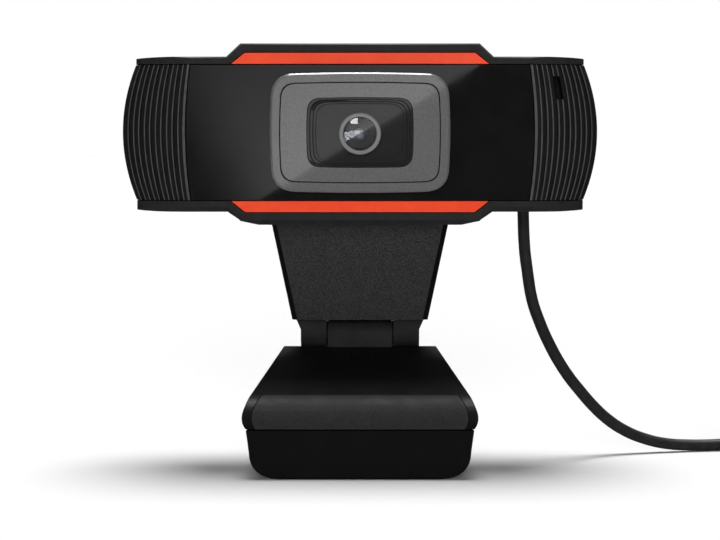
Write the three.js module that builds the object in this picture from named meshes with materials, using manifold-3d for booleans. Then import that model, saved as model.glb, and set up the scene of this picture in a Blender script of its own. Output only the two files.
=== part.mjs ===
// Webcam on a folding screen clip: a wide head with ribbed ends, a neck that tilts and lets the
// head swivel, a clip whose rear leg folds, and a USB lead.
// Millimetres, +Z up. The front faces -Y and +X is to the right of a person facing it.
// The origin is on the table, below the middle of the footprint, in the desk position.

import * as THREE from 'three';
import { mergeVertices } from 'three/addons/utils/BufferGeometryUtils.js';
import Module from 'manifold-3d';

// ---------------------------------------------------------------- driving dimensions
const FIT = 0.15; // clearance between pieces that are pressed or screwed together
const GAP = 0.3; // clearance between pieces that move, or that meet on a slanted face

const HEAD_WIDTH = 99; // across the bulging ends
const HEAD_DEPTH = 25; // fascia to back
const HEAD_Z = 70; // height of the middle of the head
const BODY_HEIGHT = 28.2; // between the two rails
const END_BULGE = 2.9; // how far each end bulges past the rails
const END_SWEEP = 6; // how far the fascia sweeps back at its ends
const BACK_CORNER = 8;
const WALL = 1.8; // of the head's shells
const FRONT_SHELL_DEPTH = 13;
const GRILLE_WIDTH = 13.6; // of each ribbed end at mid height
const BULGE_WIDTH = 21; // how far in from each end the bulge starts
const SLOT_COUNT = 5; // slots in each ribbed end
const SLOT_MARGIN = 1.75; // from the fascia to the first slot
const SLOT_PITCH = 2.35;
const SLOT_WIDTH = 0.95;
const SLOT_DEPTH = 1;

const RAIL_EDGE = 1.2; // thickness of a rail beside the raised middle
const RAIL_CROWN = 3.9; // thickness of a rail at the raised middle
const RAIL_SHOULDER = 27.4; // half width of the raised middle at its foot
const RAIL_SLANT = 2.9; // how far the raised middle's ends slant in
const RAIL_CHAMFER = 0.3;
const RAIL_END_DROP = 0.35; // how far a rail's rim drops over its last stretch
const RAIL_END_LENGTH = 10;
const RAIL_FLOOR = 2; // thickness of a rail's skin over its hollow
const BELLY_DROP = 0.75; // how far the bottom rail hangs below its own front face
const BELLY_HALF = 21; // half width of the belly at its lowest
const TRIM_HEIGHT = 2.3;
const TRIM_DEPTH = 3;
const TRIM_MARGIN = 0.8; // rail left beside the trim at its foot

const FRAME_WIDTH = 37.1; // raised frame around the lens opening
const FRAME_HEIGHT = 24.7;
const FRAME_CORNER = 5.3;
const FRAME_BOW = 0.2; // how far the frame's sides bow out, and the opening's
const OPENING_BOW = 0.1;
const FRAME_BORDER = 2; // width of the frame's outer ring
const FRAME_PROUD = 2.3; // how far the frame stands in front of the fascia
const OPENING_WIDTH = 21.9;
const OPENING_HEIGHT = 14.4;
const OPENING_CORNER = 3;
const OPENING_STEPS = 4; // steps down from the opening to the well's floor
const STEP_WIDTH = 0.6; // of each step at the sides, and above and below
const STEP_HEIGHT = 0.4;
const WELL_DEPTH = 4.6; // from the frame's face to the well's floor
const PLATE = 1.2; // thickness of the well plate and of the circuit board

const LENS_DROP = 0.2; // how far the lens axis sits below the middle of the frame
const RING_RADIUS = 4.35; // focus ring
const RING_BORE = 3.4;
const RING_LENGTH = 2;
const BARREL_LENGTH = 8;
const APERTURE = 1.3;
const HOLDER_SIDE = 13; // square mount that the lens barrel screws into
const SENSOR_WINDOW = 9; // square space behind the barrel, for the filter and the sensor
const BOARD_HEIGHT = 22; // of the circuit board

const SWIVEL_Y = 4;
const POST_RADIUS = 3.3; // swivel post on top of the neck
const WASHER_RADIUS = 5.2;
const WASHER_THICKNESS = 0.6;
const SWIVEL_SCREW = 1.2; // radius of its shank
const SWIVEL_SCREW_HEAD = 2.4; // radius of its head, and the head's height
const SWIVEL_SCREW_RISE = 0.8;
const NECK_TOP_WIDTH = 37.1;
const NECK_BOTTOM_WIDTH = 28.8;
const NECK_THICKNESS = 8;
const NECK_BEVEL = 1.2;
const NECK_WALL = 1.6;
const NECK_COVER = 2; // thickness of the neck's rear cover

const TILT_Y = 10.5; // tilt hinge at the foot of the neck
const TILT_Z = 26.6;
const TILT_RADIUS = 3.1;
const TILT_WIDTH = 25.5;
const EAR_FLARE = 1; // how much wider the neck's ears start, and how soon they narrow
const EAR_FLARE_HEIGHT = 2.3;
const KNUCKLE_WIDTH = 14.1;
const PIN_RADIUS = 1.15;

const FOOTPRINT = 46; // front of the grip band to the back of the rear foot
const CLIP_THICKNESS = 2.6;
const ROLL_RADIUS = 5.5; // rounded front of the clip
const ROLL_Z = 11.3;
const RIDGE_DROP = 2.55; // from the tilt hinge's axis down to the back edge of the sloping plate
const RIDGE_CLEARANCE = 0.47; // between that edge and the hinge's ears
const CLIP_BACK_Y = 14;
const CLIP_MAX_HALF = 23.9; // half width of the clip at its widest, and where that is
const CLIP_MAX_Z = 12.6;
const CLIP_RIDGE_HALF = 16.35;
const CLIP_SHOULDER = [22.9, 15.5]; // half width and height where the straight sides start
const LIP_TOP = 10.1;
const LIP_TOP_HALF = 23.1;
const LIP_CORNER_X = 7;
const LIP_CORNER_Z = 5.6;
const LIP_LEAN = 0.6; // how far the lip's sides lean in, down to its corners
const LIP_SKIN = 1.3; // thickness of the lip's front cover
const BAND_MARGIN = 2; // of the clip's shell left on each side of the grip band
const BAND_THICKNESS = 0.9;
const BAND_PROUD = 0.15;
const CAP_Y = 3.1; // round cap over the clip's screw
const CAP_RADIUS = 1.95;
const CAP_THICKNESS = 0.7;
const CLIP_SCREW_HEAD = 1.5;
const PAD_HALF = 13; // half width of the grip pads, and their thickness
const PAD_THICKNESS = 0.9;
const SADDLE_REACH = [-16, -6]; // of the pad under the plate, along the slope from the cap

const LEG_Y = 11.2; // rear leg's hinge
const LEG_Z = 17;
const LEG_BARREL = 2.3;
const LEG_TOP_WIDTH = 19.7;
const LEG_BOTTOM_WIDTH = 30;
const LEG_THICKNESS = 1.8;
const LUG_WIDTH = 2.8;
const ARM_HALF = 6; // half width of the arm that carries the bracket's screw
const LEG_PAD_HALF = 11;
const LEG_PAD_REACH = [3, 11]; // how far above the foot the leg's pad starts and ends
const FOOT_RADIUS = 2;

const CORD_DIAMETER = 2.5;
const CORD_X = 35; // where the lead leaves the head's underside
const CORD_Y = 8;
const RELIEF_WALL = 0.6; // of the strain relief at its root
const RELIEF_TIP = 0.35; // and at its tip
const RELIEF_LENGTH = 1.5; // it hardly shows below the rail
const COIL_X = 100; // the lead's unseen length is put away in a coil
const COIL_Y = 0;
const COIL_COLUMNS = 4;
const COIL_ROWS = 4;
const COIL_MEAN_RADIUS = 14;
const TIE_THICKNESS = 0.6;
const TIE_WIDTH = 5;
const PLUG_BODY = [15.6, 20, 7.6]; // USB-A plug: width, length, height
const PLUG_SHELL = [12, 12, 4.5];
const PLUG_NECK = 4; // taper behind the plug
const TAIL_LENGTH = 18; // of lead between the coil and the plug

// Hand-chosen route of the lead, from the relief to the coil.
const CORD_ROUTE = [
  [35.0, 8.0, 51.7],
  [35.4, 8.0, 45.2],
  [36.0, 8.0, 40.4],
  [37.1, 8.1, 34.0],
  [38.8, 8.3, 29.1],
  [40.8, 8.5, 24.6],
  [43.3, 8.9, 20.1],
  [45.4, 9.3, 17.0],
  [47.9, 9.8, 13.9],
  [50.6, 10.4, 10.8],
  [53.8, 11.2, 7.8],
  [57.6, 12.2, 5.2],
  [62.1, 13.3, 3.2],
  [67.2, 14.5, 1.9],
  [72.8, 15.7, 1.4],
  [78.6, 16.7, 1.35],
  [84.4, 17.4, 1.7],
  [90.2, 17.7, 2.1],
];

// ---------------------------------------------------------------- worked out from them
const HEAD_HALF = HEAD_WIDTH / 2;
const RAIL_HALF = HEAD_HALF - END_BULGE;
const GRILLE_START = HEAD_HALF - GRILLE_WIDTH;
const SWEEP_START = GRILLE_START - 1;
const BULGE_START = HEAD_HALF - BULGE_WIDTH;
const BODY_HALF = BODY_HEIGHT / 2;
const FRONT_Y = BAND_PROUD - FOOTPRINT / 2;
const FASCIA_Y = -10;
const BACK_Y = FASCIA_Y + HEAD_DEPTH;
const SPLIT_Y = FASCIA_Y + FRONT_SHELL_DEPTH;
const CROWN_Z = BODY_HALF + RAIL_CROWN;
const UNDERSIDE_Z = HEAD_Z - CROWN_Z - RAIL_CHAMFER - BELLY_DROP;
const NECK_TOP_Z = UNDERSIDE_Z - GAP;
const NECK_BOTTOM_Z = TILT_Z + TILT_RADIUS + GAP;
const LENS_Z = HEAD_Z - LENS_DROP;
const FRAME_Y = FASCIA_Y - FRAME_PROUD;
const WELL_Y = FRAME_Y + WELL_DEPTH;
const BOARD_Y = WELL_Y + BARREL_LENGTH + 0.5;
const RING_Y = WELL_Y - GAP - RING_LENGTH;
const PIN_HOLE = PIN_RADIUS + FIT;

const PLATE_RIDGE_Y = TILT_Y - Math.sqrt((TILT_RADIUS + RIDGE_CLEARANCE) ** 2 - RIDGE_DROP ** 2);
const PLATE_RIDGE_Z = TILT_Z - RIDGE_DROP;
const ROLL_Y = FRONT_Y + ROLL_RADIUS;
const ridgeReach = Math.hypot(PLATE_RIDGE_Y - ROLL_Y, PLATE_RIDGE_Z - ROLL_Z);
const SLOPE = Math.atan2(PLATE_RIDGE_Z - ROLL_Z, PLATE_RIDGE_Y - ROLL_Y)
  - Math.asin(ROLL_RADIUS / ridgeReach);
const CLIP_STEP_Z = TILT_Z - TILT_RADIUS - GAP;
const CLIP_UNDER_Z = CLIP_STEP_Z - CLIP_THICKNESS;

const FOOT_Y = FOOTPRINT / 2 - FOOT_RADIUS;
const LEG_REACH = Math.hypot(FOOT_Y - LEG_Y, LEG_Z - FOOT_RADIUS);
const LEG_LEAN = Math.atan2(FOOT_Y - LEG_Y, LEG_Z - FOOT_RADIUS);

const CORD_RADIUS = CORD_DIAMETER / 2;
const RELIEF_ROOT = CORD_RADIUS + RELIEF_WALL;
const COLLAR_RADIUS = RELIEF_ROOT + 1;
const COIL_BOTTOM = TIE_THICKNESS + GAP;
const COIL_INNER = COIL_MEAN_RADIUS - COIL_COLUMNS * CORD_RADIUS;
const COIL_OUTER = COIL_MEAN_RADIUS + COIL_COLUMNS * CORD_RADIUS;
const COIL_TOP = COIL_BOTTOM + COIL_ROWS * CORD_DIAMETER;
const COIL_CLEAR = Math.sqrt(COIL_OUTER ** 2 - (COIL_OUTER - CORD_DIAMETER) ** 2) + GAP;
const PLUG_X = COIL_X + COIL_OUTER - CORD_RADIUS;
const PLUG_Z = PLUG_BODY[2] / 2;
const PLUG_BACK_Y = COIL_Y - TAIL_LENGTH;

// ---------------------------------------------------------------- solids
const wasm = await Module();
wasm.setup();

function toSolid(geometry) {
  const bare = geometry.clone();
  bare.deleteAttribute('normal');
  bare.deleteAttribute('uv');
  const merged = mergeVertices(bare, 1e-4);
  return new wasm.Manifold(new wasm.Mesh({
    numProp: 3,
    vertProperties: new Float32Array(merged.attributes.position.array),
    triVerts: new Uint32Array(merged.index.array),
  }));
}

function toGeometry(solid) {
  const mesh = solid.getMesh();
  const geometry = new THREE.BufferGeometry();
  const positions = new Float32Array(mesh.vertProperties);
  geometry.setAttribute('position', new THREE.BufferAttribute(positions, 3));
  geometry.setIndex(new THREE.BufferAttribute(new Uint32Array(mesh.triVerts), 1));
  geometry.computeVertexNormals();
  return geometry;
}

const AXES = {
  x: new THREE.Matrix4().makeBasis(
    new THREE.Vector3(0, 1, 0),
    new THREE.Vector3(0, 0, 1),
    new THREE.Vector3(1, 0, 0),
  ),
  y: new THREE.Matrix4().makeBasis(
    new THREE.Vector3(1, 0, 0),
    new THREE.Vector3(0, 0, 1),
    new THREE.Vector3(0, -1, 0),
  ),
  z: new THREE.Matrix4(),
};

// A shape extruded along an axis from low to high. Its own plane is YZ for x, XZ for y, XY for z.
function prismGeometry(shape, axis, low, high, options = {}) {
  const bevel = options.bevel ?? 0;
  const geometry = new THREE.ExtrudeGeometry(shape, {
    depth: high - low - 2 * bevel,
    steps: options.steps ?? 1,
    curveSegments: options.curveSegments ?? 8,
    bevelEnabled: bevel > 0,
    bevelThickness: bevel,
    bevelSize: bevel,
    bevelOffset: options.bevelInwards ? -bevel : 0,
    bevelSegments: 1,
  });
  geometry.translate(0, 0, axis === 'y' ? bevel - high : low + bevel);
  return geometry.applyMatrix4(AXES[axis]);
}

function prism(shape, axis, low, high, options) {
  return toSolid(prismGeometry(shape, axis, low, high, options));
}

function box(x, y, z) {
  const geometry = new THREE.BoxGeometry(x[1] - x[0], y[1] - y[0], z[1] - z[0]);
  geometry.translate((x[0] + x[1]) / 2, (y[0] + y[1]) / 2, (z[0] + z[1]) / 2);
  return toSolid(geometry);
}

// A round bar along an axis from low to high, around the point given in the two other axes.
function bar(axis, radius, low, high, centre, segments = 24) {
  const geometry = new THREE.CylinderGeometry(radius, radius, high - low, segments);
  geometry.translate(0, (low + high) / 2, 0);
  if (axis === 'x') {
    geometry.rotateZ(-Math.PI / 2);
    geometry.translate(0, centre[0], centre[1]);
  }
  if (axis === 'y') {
    geometry.translate(centre[0], 0, centre[1]);
  }
  if (axis === 'z') {
    geometry.rotateX(Math.PI / 2);
    geometry.translate(centre[0], centre[1], 0);
  }
  return toSolid(geometry);
}

// A turned piece on the lens axis. Its profile is pairs of radius and Y, from front to back.
function turned(profile, segments = 32) {
  const points = profile.map(([radius, y]) => new THREE.Vector2(radius, y));
  const geometry = new THREE.LatheGeometry(points, segments);
  geometry.translate(0, 0, LENS_Z);
  return toSolid(geometry);
}

function join(first, ...others) {
  return others.reduce((sum, other) => sum.add(other), first);
}

function cut(first, ...others) {
  return others.reduce((rest, other) => rest.subtract(other), first);
}

function rotated(solid, angle, y, z) {
  return solid.translate([0, -y, -z])
    .rotate([THREE.MathUtils.radToDeg(angle), 0, 0])
    .translate([0, y, z]);
}

function polygon(points) {
  return new THREE.Shape(points.map(([a, b]) => new THREE.Vector2(a, b)));
}

function trapezium(lowHalf, low, highHalf, high) {
  return polygon([[-lowHalf, low], [lowHalf, low], [highHalf, high], [-highHalf, high]]);
}

// A rectangle with round corners whose sides bow out. Width and height are over the bows.
function bowedRectangle(width, height, corner, bow, centreZ = 0) {
  const [a, b] = [width / 2 - bow, height / 2 - bow];
  const pull = 2 * bow;
  const shape = new THREE.Shape();
  shape.moveTo(-a + corner, centreZ - b);
  shape.quadraticCurveTo(0, centreZ - b - pull, a - corner, centreZ - b);
  shape.quadraticCurveTo(a, centreZ - b, a, centreZ - b + corner);
  shape.quadraticCurveTo(a + pull, centreZ, a, centreZ + b - corner);
  shape.quadraticCurveTo(a, centreZ + b, a - corner, centreZ + b);
  shape.quadraticCurveTo(0, centreZ + b + pull, -a + corner, centreZ + b);
  shape.quadraticCurveTo(-a, centreZ + b, -a, centreZ + b - corner);
  shape.quadraticCurveTo(-a - pull, centreZ, -a, centreZ - b + corner);
  shape.quadraticCurveTo(-a, centreZ - b, -a + corner, centreZ - b);
  return shape;
}

// ---------------------------------------------------------------- the tree of parts
const webcam = new THREE.Group();
const clip = new THREE.Group();
const leg = new THREE.Group();
const neck = new THREE.Group();
const head = new THREE.Group();
const focus = new THREE.Group();
webcam.add(clip, leg, neck, head, focus);

const LOOKS = {
  gloss_black: ['#1b1b1b', 0.15, 0],
  rail_grey: ['#323232', 0.45, 0],
  grille_grey: ['#262626', 0.4, 0],
  orange: ['#ff5830', 0.4, 0],
  frame_grey: ['#858585', 0.5, 0],
  ring_grey: ['#8f8f8f', 0.4, 0.2],
  glass: ['#0c0c0e', 0.05, 0],
  grained_black: ['#1c1c1c', 0.7, 0],
  rubber: ['#161616', 0.8, 0],
  band_grey: ['#3d3d3d', 0.8, 0],
  board_green: ['#1d4a2c', 0.5, 0],
  chip_black: ['#101010', 0.4, 0],
  steel: ['#b4b4b0', 0.35, 1],
  cord_black: ['#222222', 0.6, 0],
};

function part(group, name, solid, look) {
  const [color, roughness, metalness] = LOOKS[look];
  const material = new THREE.MeshStandardMaterial({ color, roughness, metalness });
  const mesh = new THREE.Mesh(toGeometry(solid), material);
  mesh.name = name;
  group.add(mesh);
}

// ---------------------------------------------------------------- head: shared outlines
// The plan outline of the head: flat in the middle, swept back at the ends, round at the back.
function planOutline(half, front, back, sweep, corner) {
  const steps = 6;
  const points = [];
  for (let i = 0; i <= steps; i += 1) {
    const angle = (i / steps) * Math.PI / 2;
    points.push([
      SWEEP_START + (half - SWEEP_START) * Math.sin(angle),
      front + sweep * (1 - Math.cos(angle)),
    ]);
  }
  for (let i = 0; i <= steps; i += 1) {
    const angle = (i / steps) * Math.PI / 2;
    points.push([
      half - corner * (1 - Math.cos(angle)),
      back - corner * (1 - Math.sin(angle)),
    ]);
  }
  const mirrored = points.map(([x, y]) => [-x, y]).reverse();
  return polygon([...points, ...mirrored]);
}

// The body bulges outwards between the rails, more towards its ends.
function bulged(geometry) {
  const position = geometry.attributes.position;
  for (let i = 0; i < position.count; i += 1) {
    const x = position.getX(i);
    const past = Math.max(0, Math.abs(x) - BULGE_START) / (HEAD_HALF - BULGE_START);
    const level = (position.getZ(i) - HEAD_Z) / BODY_HALF;
    position.setX(i, x - Math.sign(x) * END_BULGE * past * level * level);
  }
  return geometry;
}

function bodyPrism(shape, halfHeight) {
  const steps = 8;
  const straight = prismGeometry(shape, 'z', HEAD_Z - halfHeight, HEAD_Z + halfHeight, { steps });
  return toSolid(bulged(straight));
}

// The envelope that both rails are cut from: the front outline with a chamfered rim.
function railEnvelope() {
  const edge = BODY_HALF + RAIL_EDGE;
  const crownHalf = RAIL_SHOULDER - RAIL_SLANT;
  const drop = [1, 0.75, 0.5, 0.25, 0].map((t) => [
    RAIL_HALF + RAIL_CHAMFER - RAIL_END_LENGTH * (1 - t),
    edge - RAIL_END_DROP * t * t,
  ]);
  const upper = [
    ...drop,
    [RAIL_SHOULDER, edge],
    [crownHalf, CROWN_Z],
  ];
  const quarter = (sx, sz) => upper.map(([x, z]) => [sx * x, HEAD_Z + sz * z]);
  const outline = polygon([
    ...quarter(1, 1),
    ...quarter(-1, 1).reverse(),
    ...quarter(-1, -1),
    ...quarter(1, -1).reverse(),
  ]);
  const block = prism(outline, 'y', FASCIA_Y, BACK_Y, { bevel: RAIL_CHAMFER });
  const plan = planOutline(RAIL_HALF, FASCIA_Y, BACK_Y, END_SWEEP, BACK_CORNER);
  const within = prism(plan, 'z', HEAD_Z - HEAD_WIDTH, HEAD_Z + HEAD_WIDTH);
  return join(block, railBelly(upper)).intersect(within);
}

// The belly hangs under the bottom rail, slanted at its front and back.
function railBelly(upper) {
  const slanted = { bevel: BELLY_DROP, bevelInwards: true };
  const shoulder = upper.slice(0, -1).map(([x, z]) => [x, z + RAIL_CHAMFER + BELLY_DROP]);
  const lower = [
    ...shoulder,
    [RAIL_SHOULDER - RAIL_SLANT, CROWN_Z + RAIL_CHAMFER],
    [BELLY_HALF, CROWN_Z + RAIL_CHAMFER + BELLY_DROP],
  ].map(([x, z]) => [x, HEAD_Z - z]);
  const mirrored = lower.map(([x, z]) => [-x, z]).reverse();
  const outline = polygon([[RAIL_HALF, HEAD_Z], ...lower, ...mirrored, [-RAIL_HALF, HEAD_Z]]);
  return prism(outline, 'y', FASCIA_Y + RAIL_CHAMFER, BACK_Y - RAIL_CHAMFER, slanted);
}

const trimFoot = RAIL_SHOULDER - TRIM_MARGIN;
const trimTop = trimFoot - RAIL_SLANT;

// side is 1 for the top and -1 for the bottom.
function trimShape(side, clearance) {
  const slant = RAIL_SLANT / TRIM_HEIGHT;
  const foot = trimFoot + clearance * (Math.hypot(1, slant) + slant);
  const top = trimTop + clearance * (Math.hypot(1, slant) - slant);
  const low = HEAD_Z + side * (BODY_HALF - clearance);
  const high = HEAD_Z + side * (BODY_HALF + TRIM_HEIGHT + clearance);
  return side > 0 ? trapezium(foot, low, top, high) : trapezium(top, high, foot, low);
}

// ---------------------------------------------------------------- head: rails and trims
function addRail(name, side, envelope) {
  const belly = side < 0 ? BELLY_DROP : 0;
  const reach = [BODY_HALF, CROWN_Z + 2 * RAIL_CHAMFER + belly];
  const zone = (a, b) => (side > 0 ? [HEAD_Z + a, HEAD_Z + b] : [HEAD_Z - b, HEAD_Z - a]);
  const slab = box([-HEAD_WIDTH, HEAD_WIDTH], [FASCIA_Y - 1, BACK_Y + 1], zone(...reach));
  const hollowTop = CROWN_Z + RAIL_CHAMFER + belly - RAIL_FLOOR;
  const hollowHalf = RAIL_SHOULDER - RAIL_SLANT - RAIL_FLOOR;
  const hollow = box(
    [-hollowHalf, hollowHalf],
    [FASCIA_Y + TRIM_DEPTH + RAIL_FLOOR, BACK_Y - RAIL_FLOOR],
    zone(BODY_HALF - 1, hollowTop),
  );
  const pocket = prism(trimShape(side, FIT), 'y', FASCIA_Y - 1, FASCIA_Y + TRIM_DEPTH + FIT);
  let rail = cut(envelope.intersect(slab), hollow, pocket);
  if (side < 0) {
    const postHole = bar('z', POST_RADIUS + GAP, UNDERSIDE_Z - 1, HEAD_Z, [0, SWIVEL_Y]);
    const cordHole = bar('z', RELIEF_ROOT + FIT, UNDERSIDE_Z, HEAD_Z, [CORD_X, CORD_Y]);
    rail = cut(rail, postHole, cordHole);
  }
  part(head, name, rail, 'rail_grey');
}

function addRails() {
  const envelope = railEnvelope();
  addRail('top_rail', 1, envelope);
  addRail('bottom_rail', -1, envelope);
  const depth = [FASCIA_Y, FASCIA_Y + TRIM_DEPTH];
  part(head, 'top_trim', prism(trimShape(1, 0), 'y', ...depth), 'orange');
  part(head, 'bottom_trim', prism(trimShape(-1, 0), 'y', ...depth), 'orange');
}

// ---------------------------------------------------------------- head: shells and ribbed ends
const SHELL_HALF = BODY_HALF - FIT; // half height of the shells between the rails
const CASE_POST = 2.4;
const CASE_SCREW_X = GRILLE_START - 2 * WALL - CASE_POST - 0.5;
const CASE_SCREW_Z = SHELL_HALF - WALL - CASE_POST - 0.5;
const CASE_SCREWS = [[-1, -1], [1, -1], [-1, 1], [1, 1]].map(([x, z]) => [
  CASE_SCREW_X * x,
  CASE_SCREW_Z * z,
]);
const BOARD_HALF = CASE_SCREW_X - CASE_POST - 1;
const BOARD_SCREW_X = BOARD_HALF - 3.5;
const BOARD_SCREWS = [[-BOARD_SCREW_X, 0], [BOARD_SCREW_X, 0]];
const BOARD_POST = 2.2;
const SCREW_SHANK = 0.85;
const SCREW_HEAD = 1.9;
const SCREW_HEAD_HEIGHT = 0.9;

function addFrontCover() {
  const section = polygon([
    [-GRILLE_START, FASCIA_Y], [GRILLE_START, FASCIA_Y],
    [GRILLE_START, SPLIT_Y], [-GRILLE_START, SPLIT_Y],
  ]);
  const innerHalf = GRILLE_START - 2 * WALL;
  const inside = box(
    [-innerHalf, innerHalf],
    [FASCIA_Y + WALL, SPLIT_Y + 1],
    [HEAD_Z - SHELL_HALF + WALL, HEAD_Z + SHELL_HALF - WALL],
  );
  let cover = cut(bodyPrism(section, SHELL_HALF), inside);
  const hole = bowedRectangle(
    FRAME_WIDTH - 2 * FRAME_BORDER,
    FRAME_HEIGHT - 2 * FRAME_BORDER,
    FRAME_CORNER - FRAME_BORDER,
    FRAME_BOW,
    HEAD_Z,
  );
  cover = cut(cover, prism(hole, 'y', FASCIA_Y - 1, FASCIA_Y + WALL + 1));
  const postStart = FASCIA_Y + WALL / 2;
  for (const [x, z] of CASE_SCREWS) {
    const centre = [x, HEAD_Z + z];
    const post = bar('y', CASE_POST, postStart, BACK_Y - WALL - GAP, centre, 12);
    const bore = bar('y', SCREW_SHANK + FIT, FASCIA_Y + WALL, BACK_Y, centre, 12);
    cover = cut(join(cover, post), bore);
  }
  for (const [x, z] of BOARD_SCREWS) {
    const centre = [x, HEAD_Z + z];
    const post = bar('y', BOARD_POST, postStart, BOARD_Y - FIT, centre, 12);
    const bore = bar('y', SCREW_SHANK + FIT, FASCIA_Y + WALL, BOARD_Y, centre, 12);
    cover = cut(join(cover, post), bore);
  }
  part(head, 'front_cover', cover, 'gloss_black');
}

// The plan section of a ribbed end: a wall that follows the swept front, with slots cut in it.
function grilleSection() {
  const half = HEAD_HALF;
  const front = (x) => {
    const t = Math.max(0, x - SWEEP_START) / (half - SWEEP_START);
    return FASCIA_Y + END_SWEEP * (1 - Math.sqrt(Math.max(0, 1 - t * t)));
  };
  const start = GRILLE_START + FIT;
  const points = [[start, front(start)]];
  for (let i = 0; i < SLOT_COUNT; i += 1) {
    const low = GRILLE_START + SLOT_MARGIN + i * SLOT_PITCH;
    const high = low + SLOT_WIDTH;
    const floor = front(high) + SLOT_DEPTH;
    points.push([low, front(low)], [low, floor], [high, floor], [high, front(high)]);
  }
  const tail = 4;
  const tailStart = GRILLE_START + SLOT_MARGIN + (SLOT_COUNT - 1) * SLOT_PITCH + SLOT_WIDTH;
  for (let i = 1; i <= tail; i += 1) {
    const x = half - (half - tailStart) * (1 - i / tail) ** 2;
    points.push([x, front(x)]);
  }
  const inner = half - 2 * WALL;
  points.push(
    [half, SPLIT_Y],
    [inner, SPLIT_Y],
    [inner, FASCIA_Y + END_SWEEP + WALL],
    [start + WALL, FASCIA_Y + 3 * WALL],
    [start + WALL, SPLIT_Y],
    [start, SPLIT_Y],
  );
  return points;
}

const MIC_X = GRILLE_START + 4.9;
const MIC_Z = HEAD_Z + 9.2;
const MIC_SLOT = [1.7, 4.7];
const MIC_RADIUS = 2;
const MIC_LENGTH = 2.2;

function addGrilles() {
  const section = grilleSection();
  const mirrored = section.map(([x, y]) => [-x, y]).reverse();
  const left = bodyPrism(polygon(mirrored), SHELL_HALF);
  const slot = box(
    [MIC_X - MIC_SLOT[0] / 2, MIC_X + MIC_SLOT[0] / 2],
    [FASCIA_Y - 1, FASCIA_Y + 4 * WALL],
    [MIC_Z - MIC_SLOT[1] / 2, MIC_Z + MIC_SLOT[1] / 2],
  );
  const right = cut(bodyPrism(polygon(section), SHELL_HALF), slot);
  part(head, 'left_grille', left, 'grille_grey');
  part(head, 'right_grille', right, 'grille_grey');
}

function addMicrophone() {
  const front = FASCIA_Y + END_SWEEP + WALL;
  const centre = [MIC_X + 0.5, MIC_Z];
  const capsule = bar('y', MIC_RADIUS, front, front + MIC_LENGTH, centre, 16);
  const boot = cut(
    bar('y', MIC_RADIUS + 0.9, front, front + MIC_LENGTH + 0.8, centre, 16),
    bar('y', MIC_RADIUS + FIT, front - 1, front + MIC_LENGTH + FIT, centre, 16),
  );
  part(head, 'microphone', capsule, 'steel');
  part(head, 'microphone_boot', boot, 'rubber');
}

function addBackCover() {
  const clear = SPLIT_Y + FIT;
  const outer = planOutline(HEAD_HALF, FASCIA_Y, BACK_Y, END_SWEEP, BACK_CORNER);
  const inner = planOutline(
    HEAD_HALF - 1.5 * WALL, FASCIA_Y, BACK_Y - WALL, END_SWEEP, BACK_CORNER - WALL,
  );
  const rear = box([-HEAD_WIDTH, HEAD_WIDTH], [clear, BACK_Y + 1], [0, 2 * HEAD_Z]);
  let cover = cut(bodyPrism(outer, SHELL_HALF).intersect(rear), bodyPrism(inner, SHELL_HALF - WALL));
  for (const [x, z] of CASE_SCREWS) {
    const centre = [x, HEAD_Z + z];
    const seat = bar('y', SCREW_HEAD + FIT, BACK_Y - WALL / 2, BACK_Y + 1, centre, 16);
    const hole = bar('y', SCREW_SHANK + FIT, BACK_Y - 2 * WALL, BACK_Y, centre, 12);
    cover = cut(cover, seat, hole);
  }
  const collarHole = bar('z', COLLAR_RADIUS + FIT, 0, HEAD_Z, [CORD_X, CORD_Y]);
  part(head, 'back_cover', cut(cover, collarHole), 'grained_black');
}

// A screw along Y with its head at the back.
function screwAlongY(x, z, headFront, shankLength) {
  const centre = [x, z];
  const driver = box([x - 1, x + 1], [headFront + 0.5, headFront + 2], [z - 0.25, z + 0.25]);
  const cross = box([x - 0.25, x + 0.25], [headFront + 0.5, headFront + 2], [z - 1, z + 1]);
  return cut(
    join(
      bar('y', SCREW_HEAD, headFront, headFront + SCREW_HEAD_HEIGHT, centre, 16),
      bar('y', SCREW_SHANK, headFront - shankLength, headFront + 0.1, centre, 12),
    ),
    driver,
    cross,
  );
}

function addScrews() {
  const seat = BACK_Y - WALL / 2 + 0.05;
  CASE_SCREWS.forEach(([x, z], i) => {
    part(head, `case_screw_${i + 1}`, screwAlongY(x, HEAD_Z + z, seat, 9), 'steel');
  });
  const boardBack = BOARD_Y + PLATE + 0.05;
  BOARD_SCREWS.forEach(([x, z], i) => {
    part(head, `board_screw_${i + 1}`, screwAlongY(x, HEAD_Z + z, boardBack, 5), 'steel');
  });
}

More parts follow.
